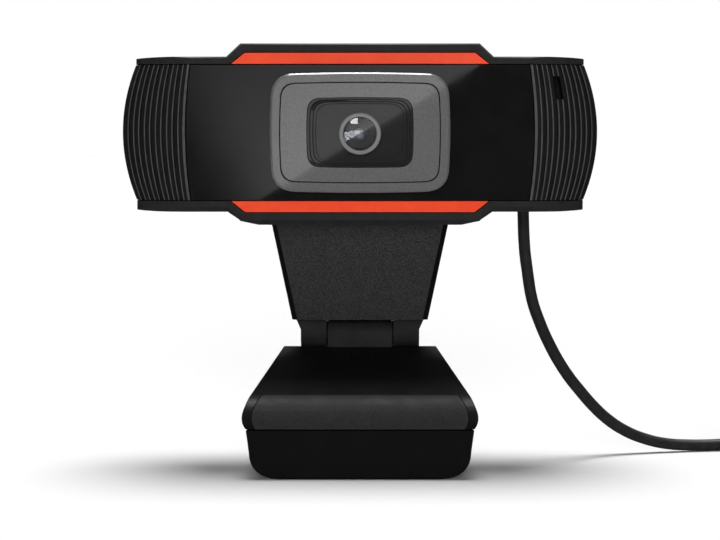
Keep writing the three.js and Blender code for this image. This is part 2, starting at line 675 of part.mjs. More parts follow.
// ---------------------------------------------------------------- head: lens frame and well
function addLensFrame() {
  const ringIn = (inset, clearance) => bowedRectangle(
    FRAME_WIDTH - 2 * inset - 2 * clearance,
    FRAME_HEIGHT - 2 * inset - 2 * clearance,
    FRAME_CORNER - inset,
    FRAME_BOW,
    HEAD_Z,
  );
  const frame = cut(
    prism(ringIn(0, 0), 'y', FRAME_Y, FASCIA_Y - FIT, { bevel: 0.4, bevelInwards: true }),
    prism(ringIn(FRAME_BORDER, 0), 'y', FRAME_Y - 1, FASCIA_Y + 1),
  );
  part(head, 'lens_frame', frame, 'frame_grey');

  let bezel = prism(ringIn(FRAME_BORDER, FIT), 'y', FRAME_Y, WELL_Y - FIT);
  const stepDepth = WELL_DEPTH / OPENING_STEPS;
  for (let i = 0; i < OPENING_STEPS; i += 1) {
    const opening = bowedRectangle(
      OPENING_WIDTH - 2 * i * STEP_WIDTH,
      OPENING_HEIGHT - 2 * i * STEP_HEIGHT,
      OPENING_CORNER,
      OPENING_BOW,
      HEAD_Z,
    );
    bezel = cut(bezel, prism(opening, 'y', FRAME_Y - 1, FRAME_Y + (i + 1) * stepDepth));
  }
  part(head, 'lens_bezel', bezel, 'frame_grey');

  const plate = cut(
    prism(ringIn(FRAME_BORDER, 2 * FIT), 'y', WELL_Y, WELL_Y + PLATE),
    bar('y', RING_BORE + GAP, WELL_Y - 1, WELL_Y + PLATE + 1, [0, LENS_Z], 32),
  );
  part(head, 'well_plate', plate, 'grained_black');
}

// ---------------------------------------------------------------- focus: ring, barrel, lenses
function addLens() {
  const ringEnd = RING_Y + RING_LENGTH;
  const rim = 0.25;
  const ring = turned([
    [RING_BORE, RING_Y + rim],
    [RING_BORE + rim, RING_Y],
    [RING_RADIUS - rim, RING_Y],
    [RING_RADIUS, RING_Y + rim],
    [RING_RADIUS, ringEnd],
    [RING_BORE, ringEnd],
    [RING_BORE, RING_Y + rim],
  ]);
  part(focus, 'focus_ring', ring, 'ring_grey');

  const barrelRadius = RING_BORE - FIT;
  const barrelFront = RING_Y + 1;
  const barrelEnd = BOARD_Y - 2.4;
  const bore = APERTURE + 1;
  const barrel = turned([
    [APERTURE, barrelFront],
    [barrelRadius, barrelFront],
    [barrelRadius, barrelEnd],
    [bore, barrelEnd],
    [bore, barrelFront + 1.6],
    [APERTURE, barrelFront + 1.6],
    [APERTURE, barrelFront],
  ]);
  part(focus, 'lens_barrel', barrel, 'chip_black');

  const glassFront = RING_Y + 0.25;
  const frontLens = turned([
    [0, glassFront],
    [barrelRadius * 0.5, glassFront + 0.1],
    [barrelRadius, glassFront + 0.35],
    [barrelRadius, barrelFront - 0.1],
    [0, barrelFront - 0.1],
  ]);
  part(focus, 'front_lens', frontLens, 'glass');

  const innerRadius = APERTURE - FIT;
  const innerLens = turned([
    [0, barrelFront + 0.2],
    [innerRadius * 0.6, barrelFront + 0.4],
    [innerRadius, barrelFront + 0.8],
    [innerRadius, barrelFront + 1.6],
    [0, barrelFront + 1.6],
  ], 20);
  part(focus, 'inner_lens', innerLens, 'glass');

  const rearRadius = bore - FIT;
  const rearLens = turned([
    [0, barrelEnd - 1.4],
    [rearRadius, barrelEnd - 1],
    [rearRadius, barrelEnd - 0.2],
    [0, barrelEnd - 0.2],
  ], 20);
  part(focus, 'rear_lens', rearLens, 'glass');
}

// ---------------------------------------------------------------- head: electronics
function addElectronics() {
  const side = HOLDER_SIDE / 2;
  const window = SENSOR_WINDOW / 2;
  const holderFront = WELL_Y + PLATE + FIT;
  const holder = cut(
    box([-side, side], [holderFront, BOARD_Y - FIT], [LENS_Z - side, LENS_Z + side]),
    bar('y', RING_BORE + FIT, holderFront - 1, BOARD_Y - 1.9, [0, LENS_Z], 24),
    box([-window, window], [BOARD_Y - 2, BOARD_Y], [LENS_Z - window, LENS_Z + window]),
  );
  part(head, 'lens_holder', holder, 'chip_black');

  const boardRise = BOARD_HEIGHT / 2;
  let board = box(
    [-BOARD_HALF, BOARD_HALF],
    [BOARD_Y, BOARD_Y + PLATE],
    [HEAD_Z - boardRise, HEAD_Z + boardRise],
  );
  for (const [x, z] of BOARD_SCREWS) {
    const hole = bar('y', SCREW_SHANK + FIT, BOARD_Y - 1, BOARD_Y + 3, [x, HEAD_Z + z], 12);
    board = cut(board, hole);
  }
  part(head, 'main_board', board, 'board_green');

  const front = BOARD_Y - 0.05;
  const back = BOARD_Y + PLATE + 0.05;
  const chip = (x, z, half, y) => box([x - half[0], x + half[0]], y, [z - half[1], z + half[1]]);
  part(head, 'image_sensor', chip(0, LENS_Z, [3, 3], [front - 0.9, front]), 'chip_black');
  part(head, 'ir_filter', chip(0, LENS_Z, [3.5, 3], [front - 1.7, front - 1.3]), 'glass');
  part(head, 'usb_chip', chip(-8, HEAD_Z, [3.5, 3.5], [back, back + 1]), 'chip_black');
  part(head, 'crystal', chip(4, HEAD_Z + 4, [2.5, 1], [back, back + 1.2]), 'steel');
  part(head, 'cable_socket', chip(17, HEAD_Z - 5, [4, 1.6], [back, back + 3.5]), 'band_grey');
}

// ---------------------------------------------------------------- neck
function neckSlab(front, back, bevel) {
  const lean = Math.atan2(TILT_Y - NECK_THICKNESS / 4 - SWIVEL_Y, NECK_TOP_Z - NECK_BOTTOM_Z);
  const height = (NECK_TOP_Z - NECK_BOTTOM_Z) / Math.cos(lean);
  const spare = 5;
  const taper = (NECK_TOP_WIDTH - NECK_BOTTOM_WIDTH) / 2 / height;
  const shape = trapezium(
    NECK_BOTTOM_WIDTH / 2 - taper * spare,
    -height - spare,
    NECK_TOP_WIDTH / 2 + taper * spare,
    spare,
  );
  const slab = prism(shape, 'y', front, back, { bevel, bevelInwards: true });
  const placed = rotated(slab, lean, 0, 0).translate([0, SWIVEL_Y, NECK_TOP_Z]);
  const levels = box([-HEAD_WIDTH, HEAD_WIDTH], [-50, 50], [NECK_BOTTOM_Z, NECK_TOP_Z]);
  return placed.intersect(levels);
}

// An ear of the tilt hinge, on one side of the clip's knuckle, flared where it joins the neck.
function neckEar(side) {
  const innerEnd = KNUCKLE_WIDTH / 2 + FIT;
  const outerEnd = TILT_WIDTH / 2;
  const ends = [side * innerEnd, side * outerEnd].sort((a, b) => a - b);
  const depth = [TILT_Y - TILT_RADIUS, TILT_Y];
  const root = NECK_BOTTOM_Z + 1;
  const flare = prism(
    polygon([
      [side * outerEnd, NECK_BOTTOM_Z - EAR_FLARE_HEIGHT],
      [side * (outerEnd + EAR_FLARE), NECK_BOTTOM_Z],
      [side * (outerEnd + EAR_FLARE), root],
      [side * innerEnd, root],
      [side * innerEnd, NECK_BOTTOM_Z - EAR_FLARE_HEIGHT],
    ]),
    'y', ...depth,
  );
  return join(
    bar('x', TILT_RADIUS, ...ends, [TILT_Y, TILT_Z], 28),
    box(ends, depth, [TILT_Z, root]),
    flare,
  );
}

function addNeck() {
  const half = NECK_THICKNESS / 2;
  const seam = half - NECK_COVER;
  const outer = neckSlab(-half, seam, 0).intersect(neckSlab(-half, half + NECK_BEVEL, NECK_BEVEL));
  const inside = neckSlab(-half + NECK_WALL, seam + 1, 0)
    .intersect(box(
      [-NECK_BOTTOM_WIDTH / 2 + 2 * NECK_WALL, NECK_BOTTOM_WIDTH / 2 - 2 * NECK_WALL],
      [-50, 50],
      [NECK_BOTTOM_Z + 3 * NECK_WALL, NECK_TOP_Z - 2 * NECK_WALL],
    ));
  const ears = [-1, 1].map(neckEar);
  const post = bar('z', POST_RADIUS, NECK_TOP_Z - 1, UNDERSIDE_Z + RAIL_FLOOR + GAP, [0, SWIVEL_Y]);
  const screwBore = bar('z', SWIVEL_SCREW + FIT, NECK_TOP_Z - 4, HEAD_Z, [0, SWIVEL_Y], 12);
  const pinBore = bar('x', PIN_HOLE, -TILT_WIDTH, TILT_WIDTH, [TILT_Y, TILT_Z], 20);
  const front = cut(join(cut(outer, inside), ...ears, post), screwBore, pinBore);
  part(neck, 'neck_front', front, 'grained_black');

  const cover = neckSlab(seam + GAP, half, 0).intersect(
    box([-50, 50], [-50, 50], [NECK_BOTTOM_Z + 1, NECK_TOP_Z]),
  );
  const covered = cut(
    cover,
    bar('z', POST_RADIUS + GAP, NECK_TOP_Z - 1.5, HEAD_Z, [0, SWIVEL_Y]),
  );
  part(neck, 'neck_back', covered, 'grained_black');

  const washerZ = UNDERSIDE_Z + RAIL_FLOOR + GAP + 0.05;
  const washer = cut(
    bar('z', WASHER_RADIUS, washerZ, washerZ + WASHER_THICKNESS, [0, SWIVEL_Y]),
    bar('z', SWIVEL_SCREW + FIT, washerZ - 1, washerZ + 2, [0, SWIVEL_Y], 12),
  );
  part(neck, 'swivel_washer', washer, 'steel');
  const screwZ = washerZ + WASHER_THICKNESS + 0.05;
  const screw = join(
    bar('z', SWIVEL_SCREW_HEAD, screwZ, screwZ + SWIVEL_SCREW_RISE, [0, SWIVEL_Y], 16),
    bar('z', SWIVEL_SCREW, NECK_TOP_Z - 3, screwZ + 0.1, [0, SWIVEL_Y], 12),
  );
  part(neck, 'swivel_screw', screw, 'steel');
}

// ---------------------------------------------------------------- clip
// The clip seen from the front, its sides moved in by a distance: straight, then rounded out to
// the widest level and in again to the lip.
function clipFront(inset) {
  const [shoulderHalf, shoulderZ] = CLIP_SHOULDER;
  const slope = (shoulderHalf - CLIP_RIDGE_HALF) / (PLATE_RIDGE_Z - shoulderZ);
  const top = TILT_Z + 2 * TILT_RADIUS;
  const topHalf = CLIP_RIDGE_HALF - slope * (top - PLATE_RIDGE_Z) - inset;
  const footHalf = LIP_TOP_HALF - inset;
  const straightHalf = shoulderHalf - inset;
  const cornerHalf = 2 * (CLIP_MAX_HALF - inset) - (footHalf + straightHalf) / 2;
  const foot = LIP_TOP + FIT;
  const shape = new THREE.Shape();
  shape.moveTo(-footHalf, foot);
  shape.lineTo(footHalf, foot);
  shape.quadraticCurveTo(cornerHalf, CLIP_MAX_Z - GAP, straightHalf, shoulderZ);
  shape.lineTo(topHalf, top);
  shape.lineTo(-topHalf, top);
  shape.lineTo(-straightHalf, shoulderZ);
  shape.quadraticCurveTo(-cornerHalf, CLIP_MAX_Z - GAP, -footHalf, foot);
  return prism(shape, 'y', FRONT_Y - 1, CLIP_BACK_Y + 1);
}

// The clip seen from above: it narrows to the plate's ridge and runs straight back from there.
function clipPlan() {
  const frontHalf = CLIP_MAX_HALF + GAP;
  const sides = [
    [frontHalf, FRONT_Y - 1],
    [frontHalf, ROLL_Y],
    [CLIP_RIDGE_HALF, PLATE_RIDGE_Y],
    [CLIP_RIDGE_HALF, CLIP_BACK_Y + 1],
  ];
  const mirrored = sides.map(([x, y]) => [-x, y]).reverse();
  return prism(polygon([...sides, ...mirrored]), 'z', 0, HEAD_Z);
}

// Points on the roll's arc, at a radius, from the front to where it meets the plate.
function rollArc(radius, steps = 8) {
  const points = [];
  for (let i = 0; i <= steps; i += 1) {
    const angle = Math.PI - (i / steps) * (Math.PI / 2 - SLOPE);
    points.push([ROLL_Y + radius * Math.cos(angle), ROLL_Z + radius * Math.sin(angle)]);
  }
  return points;
}

function addClipShell() {
  const inner = ROLL_RADIUS - CLIP_THICKNESS;
  const underRidge = PLATE_RIDGE_Z - CLIP_THICKNESS / Math.cos(SLOPE);
  const kneeY = PLATE_RIDGE_Y - (underRidge - CLIP_UNDER_Z) / Math.tan(SLOPE);
  const skin = polygon([
    [FRONT_Y, LIP_TOP + FIT],
    ...rollArc(ROLL_RADIUS),
    [PLATE_RIDGE_Y, PLATE_RIDGE_Z],
    [PLATE_RIDGE_Y, CLIP_STEP_Z],
    [CLIP_BACK_Y, CLIP_STEP_Z],
    [CLIP_BACK_Y, CLIP_UNDER_Z],
    [kneeY, CLIP_UNDER_Z],
    ...rollArc(inner).reverse(),
    [FRONT_Y + CLIP_THICKNESS, LIP_TOP + FIT],
  ]);
  const shell = prism(skin, 'x', -HEAD_HALF, HEAD_HALF)
    .intersect(clipFront(0))
    .intersect(clipPlan());
  const tongueDepth = [FRONT_Y + LIP_SKIN + FIT, FRONT_Y + CLIP_THICKNESS];
  const footHalf = LIP_TOP_HALF - LIP_CORNER_X - 1;
  const rootHalf = LIP_TOP_HALF - FIT;
  const tongue = join(
    box([-footHalf, footHalf], tongueDepth, [0.5, LIP_TOP + 1]),
    prism(
      trapezium(rootHalf - LIP_LEAN, LIP_CORNER_Z, rootHalf, LIP_TOP + 1),
      'y', ...tongueDepth,
    ),
  );
  const bandPocket = prism(
    polygon([
      [FRONT_Y - 1, LIP_TOP],
      ...rollArc(ROLL_RADIUS + 1),
      ...rollArc(ROLL_RADIUS - BAND_THICKNESS - FIT).reverse(),
      [FRONT_Y + BAND_THICKNESS + FIT, LIP_TOP],
    ]),
    'x', -HEAD_HALF, HEAD_HALF,
  ).intersect(clipFront(BAND_MARGIN - FIT));
  const ends = [FIT - KNUCKLE_WIDTH / 2, KNUCKLE_WIDTH / 2 - FIT];
  const knuckle = join(
    bar('x', TILT_RADIUS, ...ends, [TILT_Y, TILT_Z], 28),
    box(ends, [TILT_Y - TILT_RADIUS, TILT_Y + TILT_RADIUS], [CLIP_STEP_Z - 1, TILT_Z]),
  );
  let body = join(cut(shell, bandPocket), tongue, knuckle);
  const pinBore = bar('x', PIN_HOLE, -TILT_WIDTH, TILT_WIDTH, [TILT_Y, TILT_Z], 20);
  const capPocket = onPlate(bar('z', CAP_RADIUS + FIT, -CAP_THICKNESS - 0.1, 2, [0, 0], 28));
  const headPocket = onPlate(bar('z', CLIP_SCREW_HEAD + FIT, -CAP_THICKNESS - 1, 2, [0, 0], 16));
  const screwBore = onPlate(bar('z', SCREW_SHANK + GAP, -5, 2, [0, 0], 12));
  body = cut(body, pinBore, capPocket, headPocket, screwBore);
  part(clip, 'clip_shell', body, 'grained_black');
}

// A solid made around the origin, laid on the plate's top surface at the cap's place.
function onPlate(solid, along = 0) {
  const z = PLATE_RIDGE_Z - (PLATE_RIDGE_Y - CAP_Y) * Math.tan(SLOPE);
  return rotated(solid.translate([0, along, 0]), SLOPE, 0, 0).translate([0, CAP_Y, z]);
}

function addClipTrims() {
  const outer = ROLL_RADIUS + BAND_PROUD;
  const inner = ROLL_RADIUS - BAND_THICKNESS;
  const band = prism(
    polygon([
      [FRONT_Y - BAND_PROUD, LIP_TOP + FIT],
      ...rollArc(outer),
      ...rollArc(inner).reverse(),
      [FRONT_Y + BAND_THICKNESS, LIP_TOP + FIT],
    ]),
    'x', -HEAD_HALF, HEAD_HALF,
  ).intersect(clipFront(BAND_MARGIN));
  part(clip, 'front_band', band, 'band_grey');

  const lipShape = new THREE.Shape();
  const flat = LIP_TOP_HALF - LIP_CORNER_X;
  lipShape.moveTo(-flat, 0);
  lipShape.lineTo(flat, 0);
  const side = LIP_TOP_HALF - LIP_LEAN;
  lipShape.quadraticCurveTo(side, GAP, side, LIP_CORNER_Z);
  lipShape.lineTo(LIP_TOP_HALF, LIP_TOP);
  lipShape.lineTo(-LIP_TOP_HALF, LIP_TOP);
  lipShape.lineTo(-side, LIP_CORNER_Z);
  lipShape.quadraticCurveTo(-side, GAP, -flat, 0);
  part(clip, 'front_lip', prism(lipShape, 'y', FRONT_Y, FRONT_Y + LIP_SKIN), 'grained_black');

  const padY = FRONT_Y + CLIP_THICKNESS + FIT;
  const padDepth = [padY, padY + PAD_THICKNESS];
  part(clip, 'lip_pad', box([-PAD_HALF, PAD_HALF], padDepth, [2, 9]), 'rubber');
  const padTop = -CLIP_THICKNESS - GAP;
  const saddle = onPlate(
    box([-PAD_HALF, PAD_HALF], SADDLE_REACH, [padTop - PAD_THICKNESS, padTop]),
  );
  part(clip, 'saddle_pad', saddle, 'rubber');

  const cap = onPlate(bar('z', CAP_RADIUS, -CAP_THICKNESS, 0.2, [0, 0], 28));
  part(clip, 'plate_cap', cap, 'grained_black');
  const pinHalf = TILT_WIDTH / 2 - 0.3;
  part(clip, 'hinge_pin', bar('x', PIN_RADIUS, -pinHalf, pinHalf, [TILT_Y, TILT_Z], 20), 'steel');
}

// The bracket under the plate that carries the rear leg, its screw and the leg's pin.
function addLegBracket() {
  const lugStart = LEG_TOP_WIDTH / 2 + GAP;
  const lugEnd = lugStart + LUG_WIDTH;
  const top = CLIP_UNDER_Z - GAP;
  const barTop = LEG_Z + LEG_BARREL + GAP;
  let bracket = box([-lugEnd, lugEnd], [PLATE_RIDGE_Y - 2, CLIP_BACK_Y - FIT], [barTop, top]);
  for (const side of [-1, 1]) {
    const ends = [side * lugStart, side * lugEnd].sort((a, b) => a - b);
    bracket = join(
      bracket,
      bar('x', LEG_BARREL, ...ends, [LEG_Y, LEG_Z], 20),
      box(ends, [LEG_Y - LEG_BARREL, LEG_Y + LEG_BARREL], [LEG_Z, top]),
    );
  }
  const armTop = -CLIP_THICKNESS - GAP;
  const arm = onPlate(box([-ARM_HALF, ARM_HALF], [-3, ARM_HALF], [armTop - 1.6, armTop]));
  const below = box([-50, 50], [-50, CLIP_BACK_Y - FIT], [0, top]);
  const pinBore = bar('x', PIN_HOLE, -2 * lugEnd, 2 * lugEnd, [LEG_Y, LEG_Z], 20);
  const screwBore = onPlate(bar('z', SCREW_SHANK + FIT, -8, 2, [0, 0], 12));
  bracket = cut(join(bracket, arm.intersect(below)), pinBore, screwBore);
  part(clip, 'leg_bracket', bracket, 'grained_black');

  const screw = join(
    onPlate(bar('z', CLIP_SCREW_HEAD, -CAP_THICKNESS - 0.9, -CAP_THICKNESS - 0.25, [0, 0], 16)),
    onPlate(bar('z', SCREW_SHANK, -4.4, -CAP_THICKNESS - 0.8, [0, 0], 12)),
  );
  part(clip, 'clip_screw', screw, 'steel');
  part(clip, 'leg_pin', bar('x', PIN_RADIUS, -lugEnd, lugEnd, [LEG_Y, LEG_Z], 20), 'steel');
}

// ---------------------------------------------------------------- rear leg
// A solid made hanging straight down from the leg's hinge, leant back to the desk position.
function onLeg(solid) {
  return rotated(solid, LEG_LEAN, 0, 0).translate([0, LEG_Y, LEG_Z]);
}

function addRearLeg() {
  const half = LEG_THICKNESS / 2;
  const outline = [
    [LEG_BOTTOM_WIDTH / 2, -LEG_REACH],
    [LEG_TOP_WIDTH / 2, -LEG_BARREL - 1],
    [LEG_TOP_WIDTH / 2, 0],
  ];
  const mirrored = outline.map(([x, z]) => [-x, z]).reverse();
  const blade = prism(polygon([...outline, ...mirrored]), 'y', -half, half);
  const barrel = bar('x', LEG_BARREL, -LEG_TOP_WIDTH / 2, LEG_TOP_WIDTH / 2, [0, 0], 20);
  const bore = bar('x', PIN_HOLE, -LEG_TOP_WIDTH, LEG_TOP_WIDTH, [0, 0], 20);
  part(leg, 'rear_leg', onLeg(cut(join(blade, barrel), bore)), 'grained_black');

  const footHalf = LEG_BOTTOM_WIDTH / 2 + 1;
  const foot = cut(
    bar('x', FOOT_RADIUS, -footHalf, footHalf, [0, -LEG_REACH], 20),
    box([-footHalf + 0.7, footHalf - 0.7], [-half - FIT, half + FIT], [-LEG_REACH - GAP, 0]),
  );
  part(leg, 'leg_foot', onLeg(foot), 'rubber');

  const padBack = -half - FIT;
  const padSpan = LEG_PAD_REACH.map((above) => above - LEG_REACH);
  const pad = box([-LEG_PAD_HALF, LEG_PAD_HALF], [padBack - PAD_THICKNESS, padBack], padSpan);
  part(leg, 'leg_pad', onLeg(pad), 'rubber');
}

// ---------------------------------------------------------------- lead
function addCordTube(name, points, steps) {
  const circle = new THREE.Shape();
  circle.absarc(0, 0, CORD_RADIUS, 0, 2 * Math.PI);
  const curve = new THREE.CatmullRomCurve3(
    points.map((p) => new THREE.Vector3(...p)), false, 'centripetal',
  );
  const geometry = new THREE.ExtrudeGeometry(circle, {
    steps,
    curveSegments: 4,
    extrudePath: curve,
    bevelEnabled: false,
  });
  part(head, name, toSolid(geometry), 'cord_black');
}

function addLead() {
  const railTop = HEAD_Z - BODY_HALF;
  const tip = CORD_RADIUS + RELIEF_TIP;
  const relief = new THREE.CylinderGeometry(RELIEF_ROOT, tip, RELIEF_LENGTH, 20);
  relief.rotateX(Math.PI / 2);
  relief.translate(CORD_X, CORD_Y, railTop - RELIEF_LENGTH / 2);
  const collar = bar('z', COLLAR_RADIUS, railTop + 0.05, railTop + 1.2, [CORD_X, CORD_Y], 20);
  const root = bar('z', RELIEF_ROOT, railTop - 0.5, railTop + 0.5, [CORD_X, CORD_Y], 20);
  part(head, 'strain_relief', join(toSolid(relief), root, collar), 'rubber');

  const route = CORD_ROUTE.map((p) => [...p]);
  route[0][2] = railTop - RELIEF_LENGTH - GAP;
  addCordTube('cable_tube', route, 28);

  const ring = new THREE.LatheGeometry([
    new THREE.Vector2(COIL_INNER, COIL_BOTTOM),
    new THREE.Vector2(COIL_OUTER, COIL_BOTTOM),
    new THREE.Vector2(COIL_OUTER, COIL_TOP),
    new THREE.Vector2(COIL_INNER, COIL_TOP),
    new THREE.Vector2(COIL_INNER, COIL_BOTTOM),
  ], 32);
  ring.rotateX(Math.PI / 2);
  ring.translate(COIL_X, COIL_Y, 0);
  part(head, 'cable_coil', toSolid(ring), 'cord_black');

  const tailTop = COIL_TOP - CORD_RADIUS;
  const tailLow = PLUG_Z;
  addCordTube('cable_tail', [
    [PLUG_X, COIL_Y - COIL_CLEAR, tailTop - 0.25 * (tailTop - tailLow)],
    [PLUG_X, COIL_Y - TAIL_LENGTH * 0.62, tailTop - 0.7 * (tailTop - tailLow)],
    [PLUG_X, COIL_Y - TAIL_LENGTH * 0.8, tailLow + 0.3],
    [PLUG_X, PLUG_BACK_Y + GAP, tailLow],
  ], 5);
}

// A strap through the coil's eye and round its turns.
function addTie() {
  const half = TIE_WIDTH / 2;
  const eye = COIL_INNER - Math.sqrt(COIL_INNER ** 2 - half ** 2) + GAP;
  const y = [COIL_Y - COIL_OUTER - GAP, COIL_Y - COIL_INNER + eye];
  const z = [TIE_THICKNESS, COIL_TOP + GAP];
  const outer = box(
    [COIL_X - half, COIL_X + half],
    [y[0] - TIE_THICKNESS, y[1] + TIE_THICKNESS],
    [0, z[1] + TIE_THICKNESS],
  );
  const inner = box([COIL_X - TIE_WIDTH, COIL_X + TIE_WIDTH], y, z);
  part(head, 'cable_tie', cut(outer, inner), 'rubber');
}

function addPlug() {
  const [width, length, height] = PLUG_BODY;
  const front = PLUG_BACK_Y - PLUG_NECK - length;
  const outline = (w, h, corner) => bowedRectangle(w, h, corner, 0, PLUG_Z);
  const body = prism(outline(width, height, 1.6), 'y', front, front + length, {
    bevel: 0.8,
    bevelInwards: true,
  }).translate([PLUG_X, 0, 0]);
  const taper = new THREE.CylinderGeometry(CORD_RADIUS + 0.5, 2.9, PLUG_NECK + 0.2, 20);
  taper.translate(PLUG_X, PLUG_BACK_Y - PLUG_NECK / 2 - 0.1, PLUG_Z);
  const seat = box(
    [PLUG_X - PLUG_SHELL[0] / 2 - FIT, PLUG_X + PLUG_SHELL[0] / 2 + FIT],
    [front - 1, front + 4],
    [PLUG_Z - PLUG_SHELL[2] / 2 - FIT, PLUG_Z + PLUG_SHELL[2] / 2 + FIT],
  );
  part(head, 'plug_body', cut(join(body, toSolid(taper)), seat), 'cord_black');

  const wall = 0.3;
  const [shellWidth, shellLength, shellHeight] = PLUG_SHELL;
  const shellOf = (inset, y) => box(
    [PLUG_X - shellWidth / 2 + inset, PLUG_X + shellWidth / 2 - inset],
    y,
    [PLUG_Z - shellHeight / 2 + inset, PLUG_Z + shellHeight / 2 - inset],
  );
  const depth = [front - shellLength, front + 4 - FIT];
  const shell = cut(shellOf(0, depth), shellOf(wall, [depth[0] - 1, depth[1] - 1]));
  part(head, 'plug_shell', shell, 'steel');
  const tongue = box(
    [PLUG_X - shellWidth / 2 + 0.6, PLUG_X + shellWidth / 2 - 0.6],
    [depth[0] + 0.5, depth[1] - 1 - FIT],
    [PLUG_Z + 0.1, PLUG_Z + shellHeight / 2 - wall - FIT],
  );
  part(head, 'plug_tongue', tongue, 'frame_grey');
}

addRails();
addFrontCover();
addGrilles();
addMicrophone();
addBackCover();
addScrews();
addLensFrame();
addLens();
addElectronics();
addNeck();
addClipShell();
addClipTrims();
addLegBracket();
addRearLeg();
addLead();
addTie();
addPlug();

export default webcam;
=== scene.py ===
"""A webcam on a folding screen clip, standing on a pale table beside its coiled USB lead.

Metres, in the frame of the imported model: the camera looks along +Y and Z is up.
"""

import math

import bmesh
import bpy
from mathutils import Matrix, Vector


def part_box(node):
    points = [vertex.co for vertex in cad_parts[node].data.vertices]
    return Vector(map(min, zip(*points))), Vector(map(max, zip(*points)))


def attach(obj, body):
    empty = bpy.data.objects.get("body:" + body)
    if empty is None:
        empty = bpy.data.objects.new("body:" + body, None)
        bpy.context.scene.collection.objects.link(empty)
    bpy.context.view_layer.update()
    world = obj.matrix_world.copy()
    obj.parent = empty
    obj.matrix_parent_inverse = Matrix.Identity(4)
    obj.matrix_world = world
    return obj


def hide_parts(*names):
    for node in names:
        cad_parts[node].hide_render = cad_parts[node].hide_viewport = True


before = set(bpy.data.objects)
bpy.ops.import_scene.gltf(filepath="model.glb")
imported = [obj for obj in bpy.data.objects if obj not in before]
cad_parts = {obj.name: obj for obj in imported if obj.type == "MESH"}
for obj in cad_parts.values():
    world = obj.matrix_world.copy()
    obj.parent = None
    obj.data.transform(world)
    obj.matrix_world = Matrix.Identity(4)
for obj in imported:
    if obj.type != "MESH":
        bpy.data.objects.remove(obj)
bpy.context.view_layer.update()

MM = 0.001


def low(node):
    return Vector(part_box(node)[0])


def high(node):
    return Vector(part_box(node)[1])


def middle(node):
    return (low(node) + high(node)) / 2


# ---------------------------------------------------------------- sizes taken from the frame
FASCIA_Y = low("front_cover").y
FRAME_Y = low("lens_frame").y
HEAD_Z = middle("front_cover").z
HEAD_HALF = high("back_cover").x
BODY_HALF = (high("front_cover").z - low("front_cover").z) / 2
RAIL_HALF = high("top_rail").x
COVER_HALF = high("front_cover").x
SEAM = 0.15 * MM  # the gap between neighbouring mouldings
GRILLE_START = COVER_HALF + SEAM
GRILLE_BACK = high("right_grille").y
LENS = middle("focus_ring")
RING_Y = low("focus_ring").y
RING_RADIUS = high("focus_ring").x
GLASS_RADIUS = high("front_lens").x

END_BULGE = HEAD_HALF - RAIL_HALF
BULGE_WIDTH = 21 * MM
BULGE_START = HEAD_HALF - BULGE_WIDTH
SWEEP_MARGIN = 1 * MM
SWEEP_START = COVER_HALF - SWEEP_MARGIN
END_SWEEP = 6 * MM

# The hinge's barrel reaches as far below and in front of its pin as above it.
HINGE_PIN = middle("hinge_pin")
HINGE_MARGIN = 0.1 * MM
HINGE_TOP = high("clip_shell").z
HINGE_FOOT = 2 * HINGE_PIN.z - HINGE_TOP
HINGE_FRONT = HINGE_PIN.y + HINGE_FOOT - HINGE_PIN.z - HINGE_MARGIN
BAND_BACK = high("front_band").y

# ---------------------------------------------------------------- colours and nodes


def linear(hex_colour):
    """A six-digit sRGB colour as linear RGBA."""
    channels = [int(hex_colour[i:i + 2], 16) / 255 for i in (1, 3, 5)]
    straight = [c / 12.92 if c <= 0.04045 else ((c + 0.055) / 1.055) ** 2.4 for c in channels]
    return (*straight, 1)


def add(tree, kind, sockets=None, links=None, **settings):
    """Adds a node, sets its properties and sockets, and links outputs into its inputs."""
    node = tree.nodes.new(kind)
    for name, value in settings.items():
        setattr(node, name, value)
    for name, value in (sockets or {}).items():
        node.inputs[name].default_value = value
    for name, output in (links or {}).items():
        tree.links.new(output, node.inputs[name])
    return node


def begin(name, **sockets):
    """A new material with its shader's own sockets set. Returns material, tree and shader.

    A socket's name is written with underscores in place of its spaces.
    """
    material = bpy.data.materials.new(name)
    material.use_nodes = True
    tree = material.node_tree
    shader = tree.nodes["Principled BSDF"]
    for socket, value in sockets.items():
        shader.inputs[socket.replace("_", " ")].default_value = value
    return material, tree, shader


def mottle(tree, shader, place, colours, size, detail=3, blend=(0.35, 0.65)):
    """Lets the colour wander between two close tones over patches of the given size in metres."""
    noise = {"Scale": 1 / size, "Detail": detail}
    cloud = add(tree, "ShaderNodeTexNoise", noise, {"Vector": place})
    ramp = add(tree, "ShaderNodeValToRGB", links={"Fac": cloud.outputs["Fac"]})
    ramp.color_ramp.elements[0].position = blend[0]
    ramp.color_ramp.elements[1].position = blend[1]
    ramp.color_ramp.elements[0].color = linear(colours[0])
    ramp.color_ramp.elements[1].color = linear(colours[1])
    tree.links.new(ramp.outputs["Color"], shader.inputs["Base Color"])


def roughen(tree, shader, place, limits, size):
    """Lets the roughness wander between two limits, as handling and moulding leave it."""
    cloud = add(tree, "ShaderNodeTexNoise", {"Scale": 1 / size, "Detail": 4}, {"Vector": place})
    span = add(
        tree, "ShaderNodeMapRange",
        {"From Min": 0.3, "From Max": 0.7, "To Min": limits[0], "To Max": limits[1]},
        {"Value": cloud.outputs["Fac"]},
    )
    tree.links.new(span.outputs["Result"], shader.inputs["Roughness"])


def emboss(tree, shader, place, size, depth, strength, detail=2):
    """Raises a grain of the given size and depth in metres."""
    grain = add(tree, "ShaderNodeTexNoise", {"Scale": 1 / size, "Detail": detail}, {"Vector": place})
    bump = add(
        tree, "ShaderNodeBump", {"Distance": depth, "Strength": strength},
        {"Height": grain.outputs["Fac"]},
    )
    tree.links.new(bump.outputs["Normal"], shader.inputs["Normal"])


